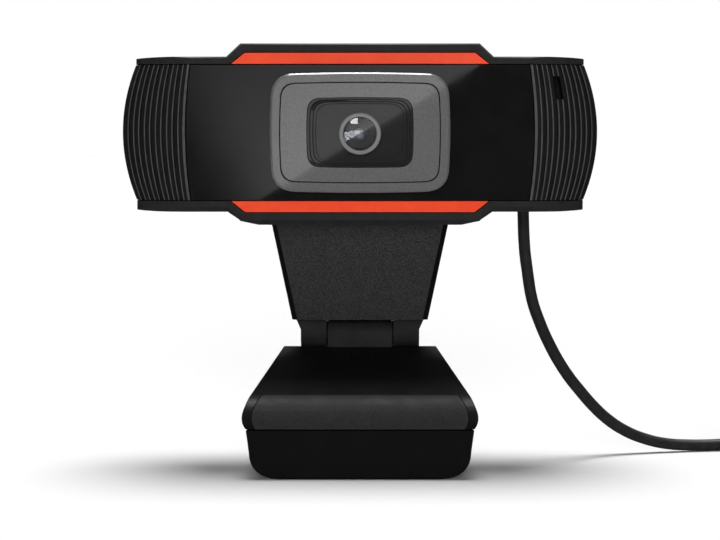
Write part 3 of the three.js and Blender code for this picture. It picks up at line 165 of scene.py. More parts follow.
def object_place(tree):
    return add(tree, "ShaderNodeTexCoord").outputs["Object"]


# ---------------------------------------------------------------- materials
def polished_abs():
    """ABS from a polished mould: near black, with a clear reflection and a faint orange peel."""
    material, tree, shader = begin("polished_abs", IOR=1.5)
    place = object_place(tree)
    mottle(tree, shader, place, ("#111111", "#151515"), 4 * MM)
    roughen(tree, shader, place, (0.015, 0.04), 9 * MM)
    emboss(tree, shader, place, 1.2 * MM, 0.0003 * MM, 0.5)
    return material


def satin_abs():
    """ABS from a finely blasted mould: dark grey, a soft wide sheen, barely visible grain."""
    material, tree, shader = begin("satin_abs", IOR=1.54)
    place = object_place(tree)
    mottle(tree, shader, place, ("#222222", "#272727"), 2 * MM)
    roughen(tree, shader, place, (0.42, 0.52), 5 * MM)
    emboss(tree, shader, place, 0.15 * MM, 0.006 * MM, 0.6)
    return material


def ribbed_abs():
    """The same blasted ABS on the faces between the ribs, darker where the tool could not polish."""
    material, tree, shader = begin("ribbed_abs", IOR=1.54)
    place = object_place(tree)
    mottle(tree, shader, place, ("#141414", "#191919"), 2 * MM)
    roughen(tree, shader, place, (0.45, 0.58), 4 * MM)
    emboss(tree, shader, place, 0.15 * MM, 0.006 * MM, 0.6)
    return material


def crest_highlight_abs():
    """The crests of the ribs, lighter than the faces between them as a painted highlight: the light
    their rounded edges catch, so that they read as fine light lines.
    """
    material, tree, shader = begin("crest_highlight_abs", IOR=1.54)
    place = object_place(tree)
    # These light tones are a painted highlight along the crests.
    mottle(tree, shader, place, ("#444444", "#4f4f4f"), 1.5 * MM)
    roughen(tree, shader, place, (0.3, 0.4), 3 * MM)
    emboss(tree, shader, place, 0.15 * MM, 0.004 * MM, 0.5)
    return material


def orange_abs():
    """ABS coloured right through and moulded smooth: saturated orange with a soft gloss."""
    material, tree, shader = begin("orange_abs", IOR=1.54, Coat_Weight=0.4, Coat_Roughness=0.03)
    place = object_place(tree)
    mottle(tree, shader, place, ("#f43f0c", "#fa4610"), 3 * MM)
    roughen(tree, shader, place, (0.35, 0.45), 6 * MM)
    emboss(tree, shader, place, 0.8 * MM, 0.002 * MM, 0.4)
    return material


def silver_grey_paint():
    """Sprayed grey paint with fine metal flake: an even mid grey with a slight sparkle."""
    material, tree, shader = begin(
        "silver_grey_paint", Metallic=0.15, Coat_Weight=1, Coat_Roughness=0.03, Coat_IOR=1.65,
    )
    place = object_place(tree)
    # Real flake is about 0.05 mm across; it is drawn at 0.25 mm so that it shows.
    mottle(tree, shader, place, ("#626262", "#727272"), 0.25 * MM, detail=1)
    roughen(tree, shader, place, (0.42, 0.55), 0.4 * MM)
    emboss(tree, shader, place, 0.25 * MM, 0.004 * MM, 0.5)
    return material


def well_black():
    """The floor of the lens well: fine-grained dark ABS with a little gloss."""
    material, tree, shader = begin("well_black", IOR=1.54, Coat_Weight=1, Coat_Roughness=0.03)
    place = object_place(tree)
    mottle(tree, shader, place, ("#1f1f1f", "#272727"), 0.4 * MM)
    roughen(tree, shader, place, (0.4, 0.5), 2 * MM)
    emboss(tree, shader, place, 0.3 * MM, 0.006 * MM, 0.5)
    return material


def ring_plastic():
    """Moulded grey plastic of the focus ring, with the fine circles its mould was turned to."""
    material, tree, shader = begin("ring_plastic", IOR=1.5)
    place = object_place(tree)
    centred = add(
        tree, "ShaderNodeMapping", {"Location": (-LENS.x, 0, -LENS.z)}, {"Vector": place},
    )
    # Turning marks lie about 0.02 mm apart; they are drawn at 0.2 mm so that they show.
    mark_spacing = 0.2 * MM
    circles = add(
        tree, "ShaderNodeTexWave",
        {"Scale": 1 / mark_spacing / (2 * math.pi), "Distortion": 0.4, "Detail": 1},
        {"Vector": centred.outputs["Vector"]},
        wave_type="RINGS", rings_direction="Y",
    )
    tint = add(tree, "ShaderNodeValToRGB", links={"Fac": circles.outputs["Fac"]})
    tint.color_ramp.elements[0].color = linear("#7e7e7e")
    tint.color_ramp.elements[1].color = linear("#888888")
    tree.links.new(tint.outputs["Color"], shader.inputs["Base Color"])
    bump = add(
        tree, "ShaderNodeBump", {"Distance": 0.003 * MM, "Strength": 0.5},
        {"Height": circles.outputs["Fac"]},
    )
    tree.links.new(bump.outputs["Normal"], shader.inputs["Normal"])
    roughen(tree, shader, place, (0.32, 0.42), 1 * MM)
    return material


def coated_glass():
    """A polished front element: clear glass with a hard coating, dark because of what is behind."""
    material, tree, shader = begin(
        "coated_glass", IOR=1.52, Roughness=0.01, Transmission_Weight=1, Coat_Weight=0.6,
        Coat_Roughness=0.02,
    )
    place = object_place(tree)
    mottle(tree, shader, place, ("#c9ccd4", "#d4d6dc"), 2 * MM)
    return material


def blooming_glass():
    """An inner element whose anti-reflection coating shows as a pale violet-grey bloom."""
    material, tree, shader = begin("blooming_glass", IOR=1.7, Roughness=0.12, Metallic=0.6)
    place = object_place(tree)
    mottle(tree, shader, place, ("#9a98a2", "#c4c4cc"), 0.6 * MM)
    return material


def anodised_black():
    """Black anodised aluminium of the lens barrel: deep matt black with a faint grain."""
    material, tree, shader = begin("anodised_black", Specular_IOR_Level=0.08)
    place = object_place(tree)
    mottle(tree, shader, place, ("#030303", "#060606"), 1 * MM)
    roughen(tree, shader, place, (0.5, 0.6), 1 * MM)
    emboss(tree, shader, place, 0.2 * MM, 0.003 * MM, 0.5)
    return material


def eroded_abs():
    """ABS from a spark-eroded mould: a crisp pebbled grain that breaks the light into specks."""
    material, tree, shader = begin("eroded_abs", IOR=1.54)
    place = object_place(tree)
    # The grain is about 0.15 mm across; it is drawn at 0.3 mm so that it shows.
    mottle(tree, shader, place, ("#242424", "#3a3a3a"), 0.3 * MM, detail=1)
    roughen(tree, shader, place, (0.5, 0.65), 4 * MM)
    emboss(tree, shader, place, 0.3 * MM, 0.03 * MM, 0.8, detail=1)
    return material


def milled_black_and_side_shade():
    """ABS from a milled, unpolished mould: the deep black of the lip. On the bevels and side faces
    of the neck and clip the same black is painted shade, for faces turned away from the light.
    """
    material, tree, shader = begin("milled_black_and_side_shade", IOR=1.5)
    place = object_place(tree)
    mottle(tree, shader, place, ("#080808", "#0c0c0c"), 3 * MM)
    roughen(tree, shader, place, (0.45, 0.55), 6 * MM)
    emboss(tree, shader, place, 0.2 * MM, 0.004 * MM, 0.5)
    return material


def smooth_abs():
    """ABS from a plain milled mould: smooth satin black on the clip's plate, cap and leg."""
    material, tree, shader = begin("smooth_abs", IOR=1.5)
    place = object_place(tree)
    mottle(tree, shader, place, ("#0f0f0f", "#141414"), 3 * MM)
    roughen(tree, shader, place, (0.38, 0.48), 6 * MM)
    emboss(tree, shader, place, 0.2 * MM, 0.005 * MM, 0.5)
    return material


def grip_rubber():
    """Soft over-moulded rubber of the grip band: a dull dark grey that holds a little dust."""
    material, tree, shader = begin("grip_rubber", IOR=1.5)
    place = object_place(tree)
    # The grain is about 0.15 mm across; it is drawn at 0.3 mm so that it shows.
    mottle(tree, shader, place, ("#242424", "#303030"), 0.3 * MM, detail=1)
    roughen(tree, shader, place, (0.55, 0.7), 3 * MM)
    emboss(tree, shader, place, 0.3 * MM, 0.02 * MM, 0.7, detail=1)
    return material


def pad_rubber():
    """Moulded elastomer of the pads and the foot: matt black, slightly pitted."""
    material, tree, shader = begin("pad_rubber", IOR=1.5)
    place = object_place(tree)
    mottle(tree, shader, place, ("#121212", "#191919"), 0.8 * MM, detail=4)
    roughen(tree, shader, place, (0.75, 0.9), 2 * MM)
    emboss(tree, shader, place, 0.35 * MM, 0.02 * MM, 0.6)
    return material


def pvc_jacket():
    """Extruded PVC of the lead: smooth black with faint cloudy patches and a waxy shine."""
    material, tree, shader = begin("pvc_jacket", IOR=1.53)
    place = object_place(tree)
    mottle(tree, shader, place, ("#222222", "#2a2a2a"), 1.5 * MM)
    roughen(tree, shader, place, (0.35, 0.5), 2.5 * MM)
    emboss(tree, shader, place, 0.5 * MM, 0.006 * MM, 0.5)
    return material


def nickel_plate():
    """Nickel-plated steel of the screws, pins and plug: warm silver with fine drawn scratches."""
    material, tree, shader = begin("nickel_plate", Metallic=1)
    place = object_place(tree)
    drawn = add(tree, "ShaderNodeMapping", {"Scale": (1, 0.08, 1)}, {"Vector": place})
    # Scratches are some 0.03 mm wide; they are drawn at 0.12 mm so that they show.
    mottle(tree, shader, drawn.outputs["Vector"], ("#a9a69f", "#bdbab3"), 0.12 * MM)
    roughen(tree, shader, drawn.outputs["Vector"], (0.22, 0.36), 0.12 * MM)
    return material


def solder_mask():
    """Solder mask over copper: deep green, glossy, the copper's pattern just showing."""
    material, tree, shader = begin("solder_mask", IOR=1.5)
    place = object_place(tree)
    mottle(tree, shader, place, ("#123a1e", "#1c5430"), 1.5 * MM, detail=0, blend=(0.48, 0.52))
    roughen(tree, shader, place, (0.2, 0.3), 4 * MM)
    return material


def moulded_epoxy():
    """Epoxy of the chip packages: matt charcoal with a fine filler."""
    material, tree, shader = begin("moulded_epoxy", IOR=1.55)
    place = object_place(tree)
    mottle(tree, shader, place, ("#161616", "#1f1f1f"), 0.3 * MM)
    roughen(tree, shader, place, (0.5, 0.65), 1 * MM)
    return material


def natural_nylon():
    """Unpainted nylon of the socket and the plug's tongue: off-white and slightly waxy."""
    material, tree, shader = begin("natural_nylon", IOR=1.53, Subsurface_Weight=0.05)
    place = object_place(tree)
    mottle(tree, shader, place, ("#cfcabd", "#dcd8cc"), 1.5 * MM)
    roughen(tree, shader, place, (0.4, 0.5), 2 * MM)
    return material


LOOKS = {
    "polished": polished_abs(),
    "satin": satin_abs(),
    "ribbed": ribbed_abs(),
    "crest_highlight": crest_highlight_abs(),
    "orange": orange_abs(),
    "paint": silver_grey_paint(),
    "well": well_black(),
    "ring": ring_plastic(),
    "glass": coated_glass(),
    "bloom": blooming_glass(),
    "anodised": anodised_black(),
    "eroded": eroded_abs(),
    "milled": milled_black_and_side_shade(),
    "smooth": smooth_abs(),
    "grip": grip_rubber(),
    "pad": pad_rubber(),
    "pvc": pvc_jacket(),
    "nickel": nickel_plate(),
    "mask": solder_mask(),
    "epoxy": moulded_epoxy(),
    "nylon": natural_nylon(),
}

# ---------------------------------------------------------------- making pieces


def place_piece(name, shape, look, body, stands_for=(), sharp=30):
    """Turns a finished bmesh into a piece that rides on a body."""
    mesh = bpy.data.meshes.new(name)
    shape.to_mesh(mesh)
    shape.free()
    for face in mesh.polygons:
        face.use_smooth = True
    mesh.set_sharp_from_angle(angle=math.radians(sharp))
    piece = bpy.data.objects.new(name, mesh)
    bpy.context.scene.collection.objects.link(piece)
    looks = [look] if isinstance(look, str) else look
    for each in looks:
        mesh.materials.append(LOOKS[each])
    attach(piece, body)
    if stands_for:
        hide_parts(*stands_for)
    return piece


def round_edges(piece, width, segments=3, angle=35):
    bevel = piece.modifiers.new("rounded_edges", "BEVEL")
    bevel.width = width
    bevel.segments = segments
    bevel.limit_method = "ANGLE"
    bevel.angle_limit = math.radians(angle)
    bevel.use_clamp_overlap = True
    bevel.harden_normals = True
    return piece


def moulding(node, body, look, width, sharp=30):
    """A moulded piece with the CAD node's shape, its faces made whole and its edges rounded."""
    shape = bmesh.new()
    shape.from_mesh(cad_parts[node].data)
    bmesh.ops.remove_doubles(shape, verts=shape.verts, dist=0.002 * MM)
    bmesh.ops.dissolve_limit(
        shape, angle_limit=math.radians(0.5), verts=shape.verts, edges=shape.edges,
    )
    for face in shape.faces:
        face.material_index = 0
    piece = place_piece(node + "_moulding", shape, look, body, (node,), sharp)
    return round_edges(piece, width)


def turned_shape(profile, centre, steps=96):
    """A solid turned about the Y axis through a point. Its profile is radius and Y pairs."""
    shape = bmesh.new()
    rim = [shape.verts.new((centre.x + radius, y, centre.z)) for radius, y in profile]
    edges = [shape.edges.new(pair) for pair in zip(rim, rim[1:])]
    closed = profile[0][0] > 0
    if closed:
        edges.append(shape.edges.new((rim[-1], rim[0])))
    bmesh.ops.spin(
        shape, geom=rim + edges, cent=centre, axis=(0, 1, 0), angle=2 * math.pi,
        steps=steps, use_merge=True,
    )
    bmesh.ops.remove_doubles(shape, verts=shape.verts, dist=0.001 * MM)
    bmesh.ops.recalc_face_normals(shape, faces=shape.faces)
    return shape


# ---------------------------------------------------------------- the lead
CORD = 2.5 * MM
COIL = Vector((100, 0, 0)) * MM
OUTER_TURN = 17.75 * MM
LOWEST_ROW = 2.15 * MM
COIL_RADII = [OUTER_TURN - i * CORD for i in range(4)]
COIL_ROWS = [LOWEST_ROW + i * CORD for i in range(4)]
POINTS_A_TURN = 16
QUARTER = 0.25  # of a turn, the time the lead takes to change its column or row

# How the tail comes down from the coil to the plug, as shares of the way along and of the drop.
TAIL_FALL = ((0.25, 0.06), (0.45, 0.3), (0.65, 0.68), (0.82, 0.94), (1.04, 1))

# The lead's route in millimetres, listed from the strain relief to the coil.
LEAD_ROUTE = [
    (35.0, 8.0, 54.6),
    (35.4, 8.0, 45.2),
    (36.0, 8.0, 40.4),
    (37.1, 8.1, 34.0),
    (38.8, 8.3, 29.1),
    (40.8, 8.5, 24.6),
    (43.3, 8.9, 20.1),
    (45.4, 9.3, 17.0),
    (47.9, 9.8, 13.9),
    (50.6, 10.4, 10.8),
    (53.8, 11.2, 7.8),
    (57.6, 12.2, 5.2),
    (62.1, 13.3, 3.2),
    (67.2, 14.5, 1.9),
    (72.8, 15.7, 1.4),
    (78.6, 16.7, 1.35),
    (84.4, 17.4, 1.7),
    (90.2, 17.7, 2.1),
]


def coil_plan():
    """Where each turn sits: (turn it starts to move, radius, height) for every move of the lead.

    A row is wound across its columns, then the lead climbs a row and winds back. Each row moves
    a quarter turn sooner than the one below, so that a climbing turn meets no other.
    """
    moves = []
    turn = 3 * QUARTER
    for row, z in enumerate(COIL_ROWS):
        columns = COIL_RADII if row % 2 == 0 else COIL_RADII[::-1]
        for radius in columns[1:]:
            moves.append((turn, radius, z))
            turn += 1
        if row + 1 < len(COIL_ROWS):
            moves.append((turn, columns[-1], COIL_ROWS[row + 1]))
            turn += 3 * QUARTER
    return moves


def coil_points():
    """Points round the coil, easing from one turn's place to the next where the plan says so."""
    pending = coil_plan()
    last_turn = pending[-1][0] + 5 * QUARTER
    radius, z = COIL_RADII[0], COIL_ROWS[0]
    points = []
    for i in range(int(last_turn * POINTS_A_TURN) + 1):
        turn = i / POINTS_A_TURN
        now_radius, now_z = radius, z
        if pending and turn > pending[0][0]:
            start, next_radius, next_z = pending[0]
            part = min(1, (turn - start) / QUARTER)
            swing = math.pi / 2 * part * part * (3 - 2 * part)
            now_radius = radius + (next_radius - radius) * (1 - math.cos(swing))
            now_z = z + (next_z - z) * math.sin(swing)
            if part == 1:
                radius, z = next_radius, next_z
                pending.pop(0)
        angle = math.pi / 2 - 2 * math.pi * turn
        points.append(COIL + Vector((
            now_radius * math.cos(angle), now_radius * math.sin(angle), now_z,
        )))
    return points


def lead_points():
    """The whole run of the lead: its route, the coil, and the tail down to the plug."""
    points = [Vector(p) * MM for p in LEAD_ROUTE] + coil_points()
    plug_back = Vector((middle("plug_body").x, high("plug_body").y, middle("plug_body").z))
    top = points[-1]
    for along, down in TAIL_FALL:
        points.append(top + Vector((
            (plug_back.x - top.x) * along,
            (plug_back.y - top.y) * along,
            (plug_back.z - top.z) * down,
        )))
    return points


def make_lead():
    """One curve with the lead's real thickness; it stands for the CAD tubes and the coil."""
    curve = bpy.data.curves.new("lead", "CURVE")
    curve.dimensions = "3D"
    curve.bevel_depth = CORD / 2
    curve.bevel_resolution = 4
    curve.resolution_u = 4
    curve.use_fill_caps = True
    points = lead_points()
    spline = curve.splines.new("BEZIER")
    spline.bezier_points.add(len(points) - 1)
    for knot, point in zip(spline.bezier_points, points):
        knot.co = point
        knot.handle_left_type = "AUTO"
        knot.handle_right_type = "AUTO"
    lead = bpy.data.objects.new("lead", curve)
    bpy.context.scene.collection.objects.link(lead)
    curve.materials.append(LOOKS["pvc"])
    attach(lead, "head")
    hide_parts("cable_tube", "cable_coil", "cable_tail")
    return lead


# ---------------------------------------------------------------- ribbed ends
FIRST_SLOT = 1.75 * MM
SLOT_SPACING = 2.35 * MM
SLOT_LOW = [COVER_HALF + FIRST_SLOT + i * SLOT_SPACING for i in range(5)]
SLOT_WIDTH = 0.95 * MM
SLOT_DEPTH = 1 * MM
CREST_WIDTH = 0.28 * MM
CREST_HEIGHT = 0.16 * MM
END_WALL = 3.6 * MM
END_STEPS = 5  # of the rounding from the last rib to the end
RINGS = 24
SLOT_END = 0.03 * MM  # half the height over which the microphone's slot ends
MICROPHONE_SLOT = (HEAD_Z + 6.85 * MM, HEAD_Z + 11.55 * MM)
MICROPHONE_DEPTH = 2.2 * MM


def swept(x):
    """How far back the head's front lies at a distance from the middle."""
    t = min(1, max(0, x - SWEEP_START) / (HEAD_HALF - SWEEP_START))
    return FASCIA_Y + END_SWEEP * (1 - math.sqrt(1 - t * t))


def rib_section():
    """The plan section of a ribbed end, as (x, y, crest) with crest true where a crest runs on."""
    start = GRILLE_START
    bead = start + 2 * CREST_WIDTH
    points = [
        (start, swept(start) - CREST_HEIGHT, True),
        (bead, swept(bead) - CREST_HEIGHT, True),
        (bead, swept(bead), False),
    ]
    for x in SLOT_LOW:
        end = x + SLOT_WIDTH
        floor = swept(end) + SLOT_DEPTH
        crest_in = x - CREST_WIDTH
        crest_out = end + CREST_WIDTH
        points += [
            (crest_in, swept(crest_in), False),
            (crest_in, swept(crest_in) - CREST_HEIGHT, True),
            (x, swept(x) - CREST_HEIGHT, True),
            (x, floor, False),
            (end, floor, False),
            (end, swept(end) - CREST_HEIGHT, True),
            (crest_out, swept(crest_out) - CREST_HEIGHT, True),
            (crest_out, swept(crest_out), False),
        ]
    tail = SLOT_LOW[-1] + SLOT_WIDTH + CREST_WIDTH
    for i in range(1, END_STEPS + 1):
        x = HEAD_HALF - (HEAD_HALF - tail) * (1 - i / END_STEPS) ** 2
        points.append((x, swept(x), False))
    points += [
        (HEAD_HALF, GRILLE_BACK, False),
        (HEAD_HALF - END_WALL, GRILLE_BACK, False),
        (HEAD_HALF - END_WALL, FASCIA_Y + END_SWEEP + END_WALL / 2, False),
        (start + END_WALL / 2, FASCIA_Y + 1.5 * END_WALL, False),
        (start + END_WALL / 2, GRILLE_BACK, False),
        (start, GRILLE_BACK, False),
    ]
    return points


def bulge(shape):
    """Bends the ends outwards between the rails."""
    for vert in shape.verts:
        x = abs(vert.co.x)
        past = max(0, x - BULGE_START) / (HEAD_HALF - BULGE_START)
        level = (vert.co.z - HEAD_Z) / (BODY_HALF + SEAM)
        vert.co.x -= math.copysign(END_BULGE * past * level * level, vert.co.x)


def section_levels(bottom, top, slot):
    """The heights at which a ribbed end has a ring of vertices, doubled at the slot's two ends."""
    even = [bottom + (top - bottom) * i / RINGS for i in range(RINGS + 1)]
    ends = [z + shift for z in slot for shift in (-SLOT_END, SLOT_END)]
    return sorted([z for z in even if all(abs(z - end) > 4 * SLOT_END for end in slot)] + ends)


def cut_microphone_slot(shape):
    """Sinks the rib between two slots of the right end, over the slot's height."""
    foot, top = MICROPHONE_SLOT
    for vert in shape.verts:
        across = SLOT_LOW[1] + SLOT_WIDTH <= vert.co.x <= SLOT_LOW[2]
        if across and foot < vert.co.z < top and vert.co.y < FASCIA_Y + END_SWEEP:
            vert.co.y += MICROPHONE_DEPTH
    for face in shape.faces:
        centre = face.calc_center_median()
        across = SLOT_LOW[1] < centre.x < SLOT_LOW[2] + SLOT_WIDTH
        if across and foot < centre.z < top:
            face.material_index = 0


def ribbed_end(node, side):
    """A ribbed end: its section drawn up between the rails, the microphone's slot, the bulge."""
    shape = bmesh.new()
    levels = section_levels(low(node).z, high(node).z, MICROPHONE_SLOT)
    section = rib_section()
    rings = [[shape.verts.new((side * x, y, z)) for x, y, _ in section] for z in levels]
    shape.faces.new(rings[0])
    shape.faces.new(rings[-1])
    for lower, upper in zip(rings, rings[1:]):
        for i, here in enumerate(section):
            after = (i + 1) % len(section)
            face = shape.faces.new((lower[i], lower[after], upper[after], upper[i]))
            # Faces along a crest take the painted highlight.
            face.material_index = 1 if here[2] and section[after][2] else 0
    if side > 0:
        cut_microphone_slot(shape)
    bmesh.ops.recalc_face_normals(shape, faces=shape.faces)
    bulge(shape)
    return shape


# ---------------------------------------------------------------- camera, light and table
CAMERA = Vector((0, -0.45, 0.0701))
PITCH = math.radians(-3.7)
SENSOR_WIDTH = 36  # both in millimetres, as a camera's data takes them
FOCAL_LENGTH = 106.6
TABLE_RADIUS = 6


def make_camera():
    data = bpy.data.cameras.new("camera")
    data.sensor_width = SENSOR_WIDTH
    data.lens = FOCAL_LENGTH
    camera = bpy.data.objects.new("camera", data)
    camera.location = CAMERA
    camera.rotation_euler = (math.pi / 2 + PITCH, 0, 0)
    bpy.context.scene.collection.objects.link(camera)
    bpy.context.scene.camera = camera


def make_light(name, kind, strength, direction, **settings):
    """A lamp that shines along a direction."""
    data = bpy.data.lights.new(name, kind)
    data.energy = strength
    for key, value in settings.items():
        setattr(data, key, value)
    lamp = bpy.data.objects.new(name, data)
    lamp.rotation_euler = Vector(direction).to_track_quat("-Z", "Y").to_euler()
    bpy.context.scene.collection.objects.link(lamp)
    return lamp


def make_world():
    """White behind everything the camera sees, and dim for light and reflections."""
    world = bpy.data.worlds.new("studio")
    bpy.context.scene.world = world
    world.use_nodes = True
    tree = world.node_tree
    tree.nodes.clear()
    seen = add(tree, "ShaderNodeBackground", {"Color": (1, 1, 1, 1), "Strength": 1})
    lit = add(tree, "ShaderNodeBackground", {"Color": (1, 1, 1, 1), "Strength": 0.04})
    path = add(tree, "ShaderNodeLightPath")
    mix = add(tree, "ShaderNodeMixShader", links={"Fac": path.outputs["Is Camera Ray"]})
    tree.links.new(lit.outputs[0], mix.inputs[1])
    tree.links.new(seen.outputs[0], mix.inputs[2])
    add(tree, "ShaderNodeOutputWorld", links={"Surface": mix.outputs[0]})


def make_table():
    """A white table that runs out of sight."""
    shape = bmesh.new()
    bmesh.ops.create_circle(shape, cap_ends=True, segments=64, radius=TABLE_RADIUS)
    mesh = bpy.data.meshes.new("table")
    shape.to_mesh(mesh)
    shape.free()
    table = bpy.data.objects.new("table", mesh)
    bpy.context.scene.collection.objects.link(table)
    laminate, _, _ = begin(
        "white_laminate", Roughness=0.6, Base_Color=linear("#f2f2f2"), Specular_IOR_Level=0,
    )
    mesh.materials.append(laminate)
    table.visible_glossy = False


def mirrored_on_card(x, z, card_y):
    """The point of a card behind the camera that the fascia mirrors at a place on its face."""
    reach = (card_y - FASCIA_Y) / (CAMERA.y - FASCIA_Y) + 1
    return Vector((CAMERA.x + (x - CAMERA.x) * reach, card_y, CAMERA.z + (z - CAMERA.z) * reach))


def graded_diffuser():
    """A lit fabric, brightest along one edge and fading away from it and towards one side."""
    material = bpy.data.materials.new("graded_diffuser")
    material.use_nodes = True
    tree = material.node_tree
    tree.nodes.clear()
    place = add(tree, "ShaderNodeTexCoord").outputs["UV"]
    parts = add(tree, "ShaderNodeSeparateXYZ", links={"Vector": place})
    fade = add(
        tree, "ShaderNodeMapRange",
        {"From Min": 0, "From Max": 0.34, "To Min": 1.15, "To Max": 0.2},
        {"Value": parts.outputs["Y"]},
    )
    side_fade = add(
        tree, "ShaderNodeMapRange",
        {"From Min": 0.41, "From Max": 0.475, "To Min": 0.08, "To Max": 1},
        {"Value": parts.outputs["X"]}, interpolation_type="SMOOTHSTEP",
    )
    strength = add(tree, "ShaderNodeMath", operation="MULTIPLY")
    tree.links.new(fade.outputs["Result"], strength.inputs[0])
    tree.links.new(side_fade.outputs["Result"], strength.inputs[1])
    glow = add(tree, "ShaderNodeEmission", links={"Strength": strength.outputs[0]})
    add(tree, "ShaderNodeOutputMaterial", links={"Surface": glow.outputs[0]})
    return material


# The lit card's edge crosses the head's front from low on the left to high on the right.
EDGE_FOOT = -0.582 * COVER_HALF
EDGE_TOP = 0.691 * COVER_HALF
CARD_Y = -1.0


def make_glare_card():
    """A lit card behind the camera. Its slanted edge is mirrored across the head's flat front."""
    start = mirrored_on_card(EDGE_FOOT, low("front_cover").z, CARD_Y)
    end = mirrored_on_card(EDGE_TOP, high("front_cover").z, CARD_Y)
    along = (end - start).normalized()
    away = Vector((-along.z, 0, along.x))
    before, after, width = 0.4, 0.5, 0.42
    corners = [
        start - along * before,
        start + along * after,
        start + along * after + away * width,
        start - along * before + away * width,
    ]
    shape = bmesh.new()
    face = shape.faces.new([shape.verts.new(corner) for corner in corners])
    uv = shape.loops.layers.uv.new("fade")
    for loop, place in zip(face.loops, ((0, 0), (1, 0), (1, 1), (0, 1))):
        loop[uv].uv = place
    mesh = bpy.data.meshes.new("glare_card")
    shape.to_mesh(mesh)
    shape.free()
    mesh.materials.append(graded_diffuser())
    card = bpy.data.objects.new("glare_card", mesh)
    bpy.context.scene.collection.objects.link(card)
    card.visible_camera = False
    card.visible_diffuse = False
    card.visible_shadow = False


def make_lights():
    """A wide light overhead and a little behind, a low fill in front, a softbox for the lens."""
    make_light("overhead", "SUN", 3.25, (0, -0.2, -1), angle=math.radians(32))
    front = make_light("front_fill", "SUN", 1.35, (0, 1, -0.2), angle=math.radians(24))
    front.visible_glossy = False
    window = make_light(
        "small_softbox", "AREA", 0.08, (0.05, 0.93, -0.1), size=0.057, size_y=0.046,
        shape="RECTANGLE",
    )
    window.location = (-0.045, -0.93, 0.17)


# ---------------------------------------------------------------- the pieces
MOULDINGS = [
    # nodes, body, look, rounding in millimetres
    (("top_rail", "bottom_rail"), "head", "satin", 0.12),
    (("top_trim", "bottom_trim"), "head", "orange", 0.1),
    (("front_cover",), "head", "polished", 0.1),
    (("back_cover",), "head", "eroded", 0.25),
    (("lens_frame",), "head", "paint", 0.12),
    (("well_plate",), "head", "well", 0.1),
    (("strain_relief",), "head", "pvc", 0.2),
    (("cable_tie",), "head", "pad", 0.15),
    (("plug_body",), "head", "pvc", 0.3),
    (("neck_back",), "neck", "eroded", 0.3),
    (("front_lip",), "clip", "milled", 0.35),
    (("plate_cap",), "clip", "smooth", 0.1),
    (("leg_bracket",), "clip", "smooth", 0.2),
    (("front_band",), "clip", "grip", 0.15),
    (("lip_pad", "saddle_pad"), "clip", "pad", 0.2),
    (("rear_leg",), "leg", "smooth", 0.25),
    (("leg_foot", "leg_pad"), "leg", "pad", 0.25),
]

KEPT = {
    "nickel": ["hinge_pin", "leg_pin", "clip_screw", "swivel_washer", "swivel_screw", "microphone",
               "crystal", "plug_shell", "board_screw_1", "board_screw_2"]
              + [f"case_screw_{i}" for i in range(1, 5)],
    "mask": ["main_board"],
    "epoxy": ["image_sensor", "usb_chip", "lens_holder"],
    "nylon": ["cable_socket", "plug_tongue"],
    "pad": ["microphone_boot"],
    "glass": ["ir_filter", "rear_lens"],
}


def make_mouldings():
    for nodes, body, look, width in MOULDINGS:
        for node in nodes:
            moulding(node, body, look, width * MM)


def finish_kept_nodes():
    for look, nodes in KEPT.items():
        for node in nodes:
            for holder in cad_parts[node].material_slots:
                holder.material = LOOKS[look]


def make_bezel():
    """The painted plate around the opening; the steps down to the well take the well's dark plastic
    as painted shade inside the recess.
    """
    plate = moulding("lens_bezel", "head", ("paint", "well"), 0.08 * MM)
    for face in plate.data.polygons:
        # Step faces behind the frame's face get the well's black as painted shade for the recess.
        if face.center.y > FRAME_Y + 0.1 * MM:
            face.material_index = 1


def make_bevelled_shells():
    """The neck and the clip's shell: satin hinge ears and knuckle, the lip's deep black in front of
    the band, and painted shade on the bevels and sides.
    """
    for node, body, look in (("neck_front", "neck", "eroded"), ("clip_shell", "clip", "smooth")):
        piece = moulding(node, body, (look, "milled", "satin"), 0.2 * MM)
        for face in piece.data.polygons:
            at = face.center
            # Faces turned sideways take the darkest black as painted shade; those in front of the
            # band take the lip's own black.
            if abs(face.normal.x) > 0.3 or at.y < BAND_BACK:
                face.material_index = 1
            elif HINGE_FOOT < at.z < HINGE_TOP and at.y > HINGE_FRONT:
                face.material_index = 2


def make_ribbed_ends():
    for node, side in (("left_grille", -1), ("right_grille", 1)):
        shape = ribbed_end(node, side)
        piece = place_piece(node + "_ribs", shape, ("ribbed", "crest_highlight"), "head", (node,))
        round_edges(piece, 0.06 * MM, 2)


def make_hinge_washers():
    """Friction washers on the tilt pin, between the neck's ears and the clip's knuckle."""
    radius = 2.95 * MM
    thickness = 0.2 * MM
    from_middle = 7.05 * MM
    for side in (-1, 1):
        shape = bmesh.new()
        bmesh.ops.create_cone(
            shape, cap_ends=True, segments=48, radius1=radius, radius2=radius, depth=thickness,
        )
        bmesh.ops.bevel(
            shape, geom=shape.edges[:], offset=0.03 * MM, affect="EDGES", segments=1, profile=0.5,
            material=-1,
        )
        bmesh.ops.rotate(shape, verts=shape.verts, matrix=Matrix.Rotation(math.pi / 2, 3, "Y"))
        place = (side * from_middle, HINGE_PIN.y, HINGE_PIN.z)
        bmesh.ops.translate(shape, verts=shape.verts, vec=place)
        name = "left_hinge_washer" if side < 0 else "right_hinge_washer"
        washer = place_piece(name, shape, "smooth", "clip")


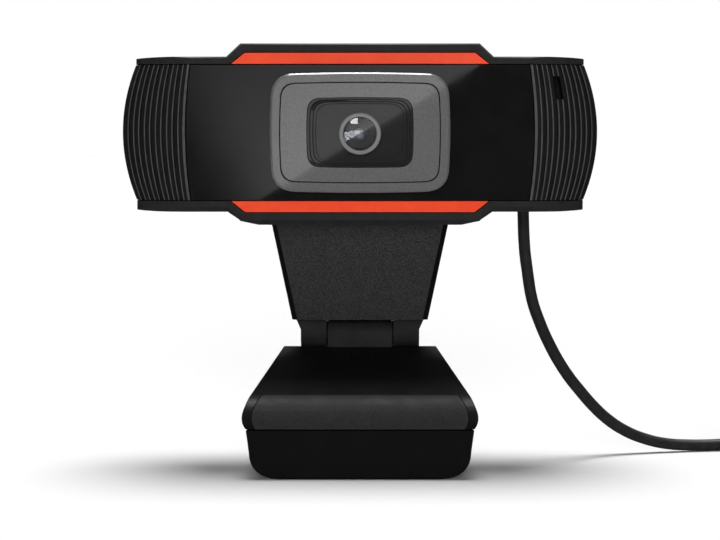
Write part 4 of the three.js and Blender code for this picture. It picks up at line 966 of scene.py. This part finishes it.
def make_lens():
    """The focus ring, the barrel behind it and its glass, all turned about the lens axis."""
    rim = 0.25 * MM
    bore = GLASS_RADIUS + SEAM
    back = high("focus_ring").y
    ring = turned_shape([
        (bore, RING_Y + rim), (bore + rim, RING_Y), (RING_RADIUS - rim, RING_Y),
        (RING_RADIUS, RING_Y + rim), (RING_RADIUS, back), (bore, back),
    ], LENS)
    piece = place_piece("focus_ring_turned", ring, "ring", "focus", ("focus_ring",))
    round_edges(piece, 0.08 * MM)

    front, barrel_end = low("lens_barrel").y, high("lens_barrel").y
    aperture = high("inner_lens").x + SEAM
    step = 0.5 * MM
    floor = front + 0.2 * MM
    throat = front + 1.6 * MM
    barrel = turned_shape([
        (aperture, front + step), (aperture + step / 2, floor), (aperture + step, floor),
        (aperture + step, front), (GLASS_RADIUS, front), (GLASS_RADIUS, barrel_end),
        (aperture + 2 * step, barrel_end), (aperture + 2 * step, throat), (aperture, throat),
    ], LENS)
    place_piece("lens_barrel_turned", barrel, "anodised", "focus", ("lens_barrel",))

    crown, glass_back = low("front_lens").y, high("front_lens").y
    sag = 0.1 * MM
    steps = 8
    dome = [(GLASS_RADIUS * i / steps, crown + sag * (i / steps) ** 2) for i in range(steps + 1)]
    glass = turned_shape([*dome, (GLASS_RADIUS, glass_back), (0, glass_back)], LENS)
    place_piece("front_lens_ground", glass, "glass", "focus", ("front_lens",), sharp=40)

    inner_front, inner_back = low("inner_lens").y, high("inner_lens").y
    inner_radius = high("inner_lens").x
    inner_sag = 0.55 * MM
    bulb = [
        (inner_radius * i / steps, inner_front + inner_sag * (i / steps) ** 2)
        for i in range(steps + 1)
    ]
    inner = turned_shape([*bulb, (inner_radius, inner_back), (0, inner_back)], LENS, steps=64)
    place_piece("inner_lens_ground", inner, "bloom", "focus", ("inner_lens",), sharp=40)


bpy.context.scene.view_settings.view_transform = "Standard"
make_camera()
make_world()
make_lights()
make_table()
make_glare_card()
lead = make_lead()
make_mouldings()
make_bezel()
make_bevelled_shells()
make_ribbed_ends()
make_hinge_washers()
make_lens()
finish_kept_nodes()
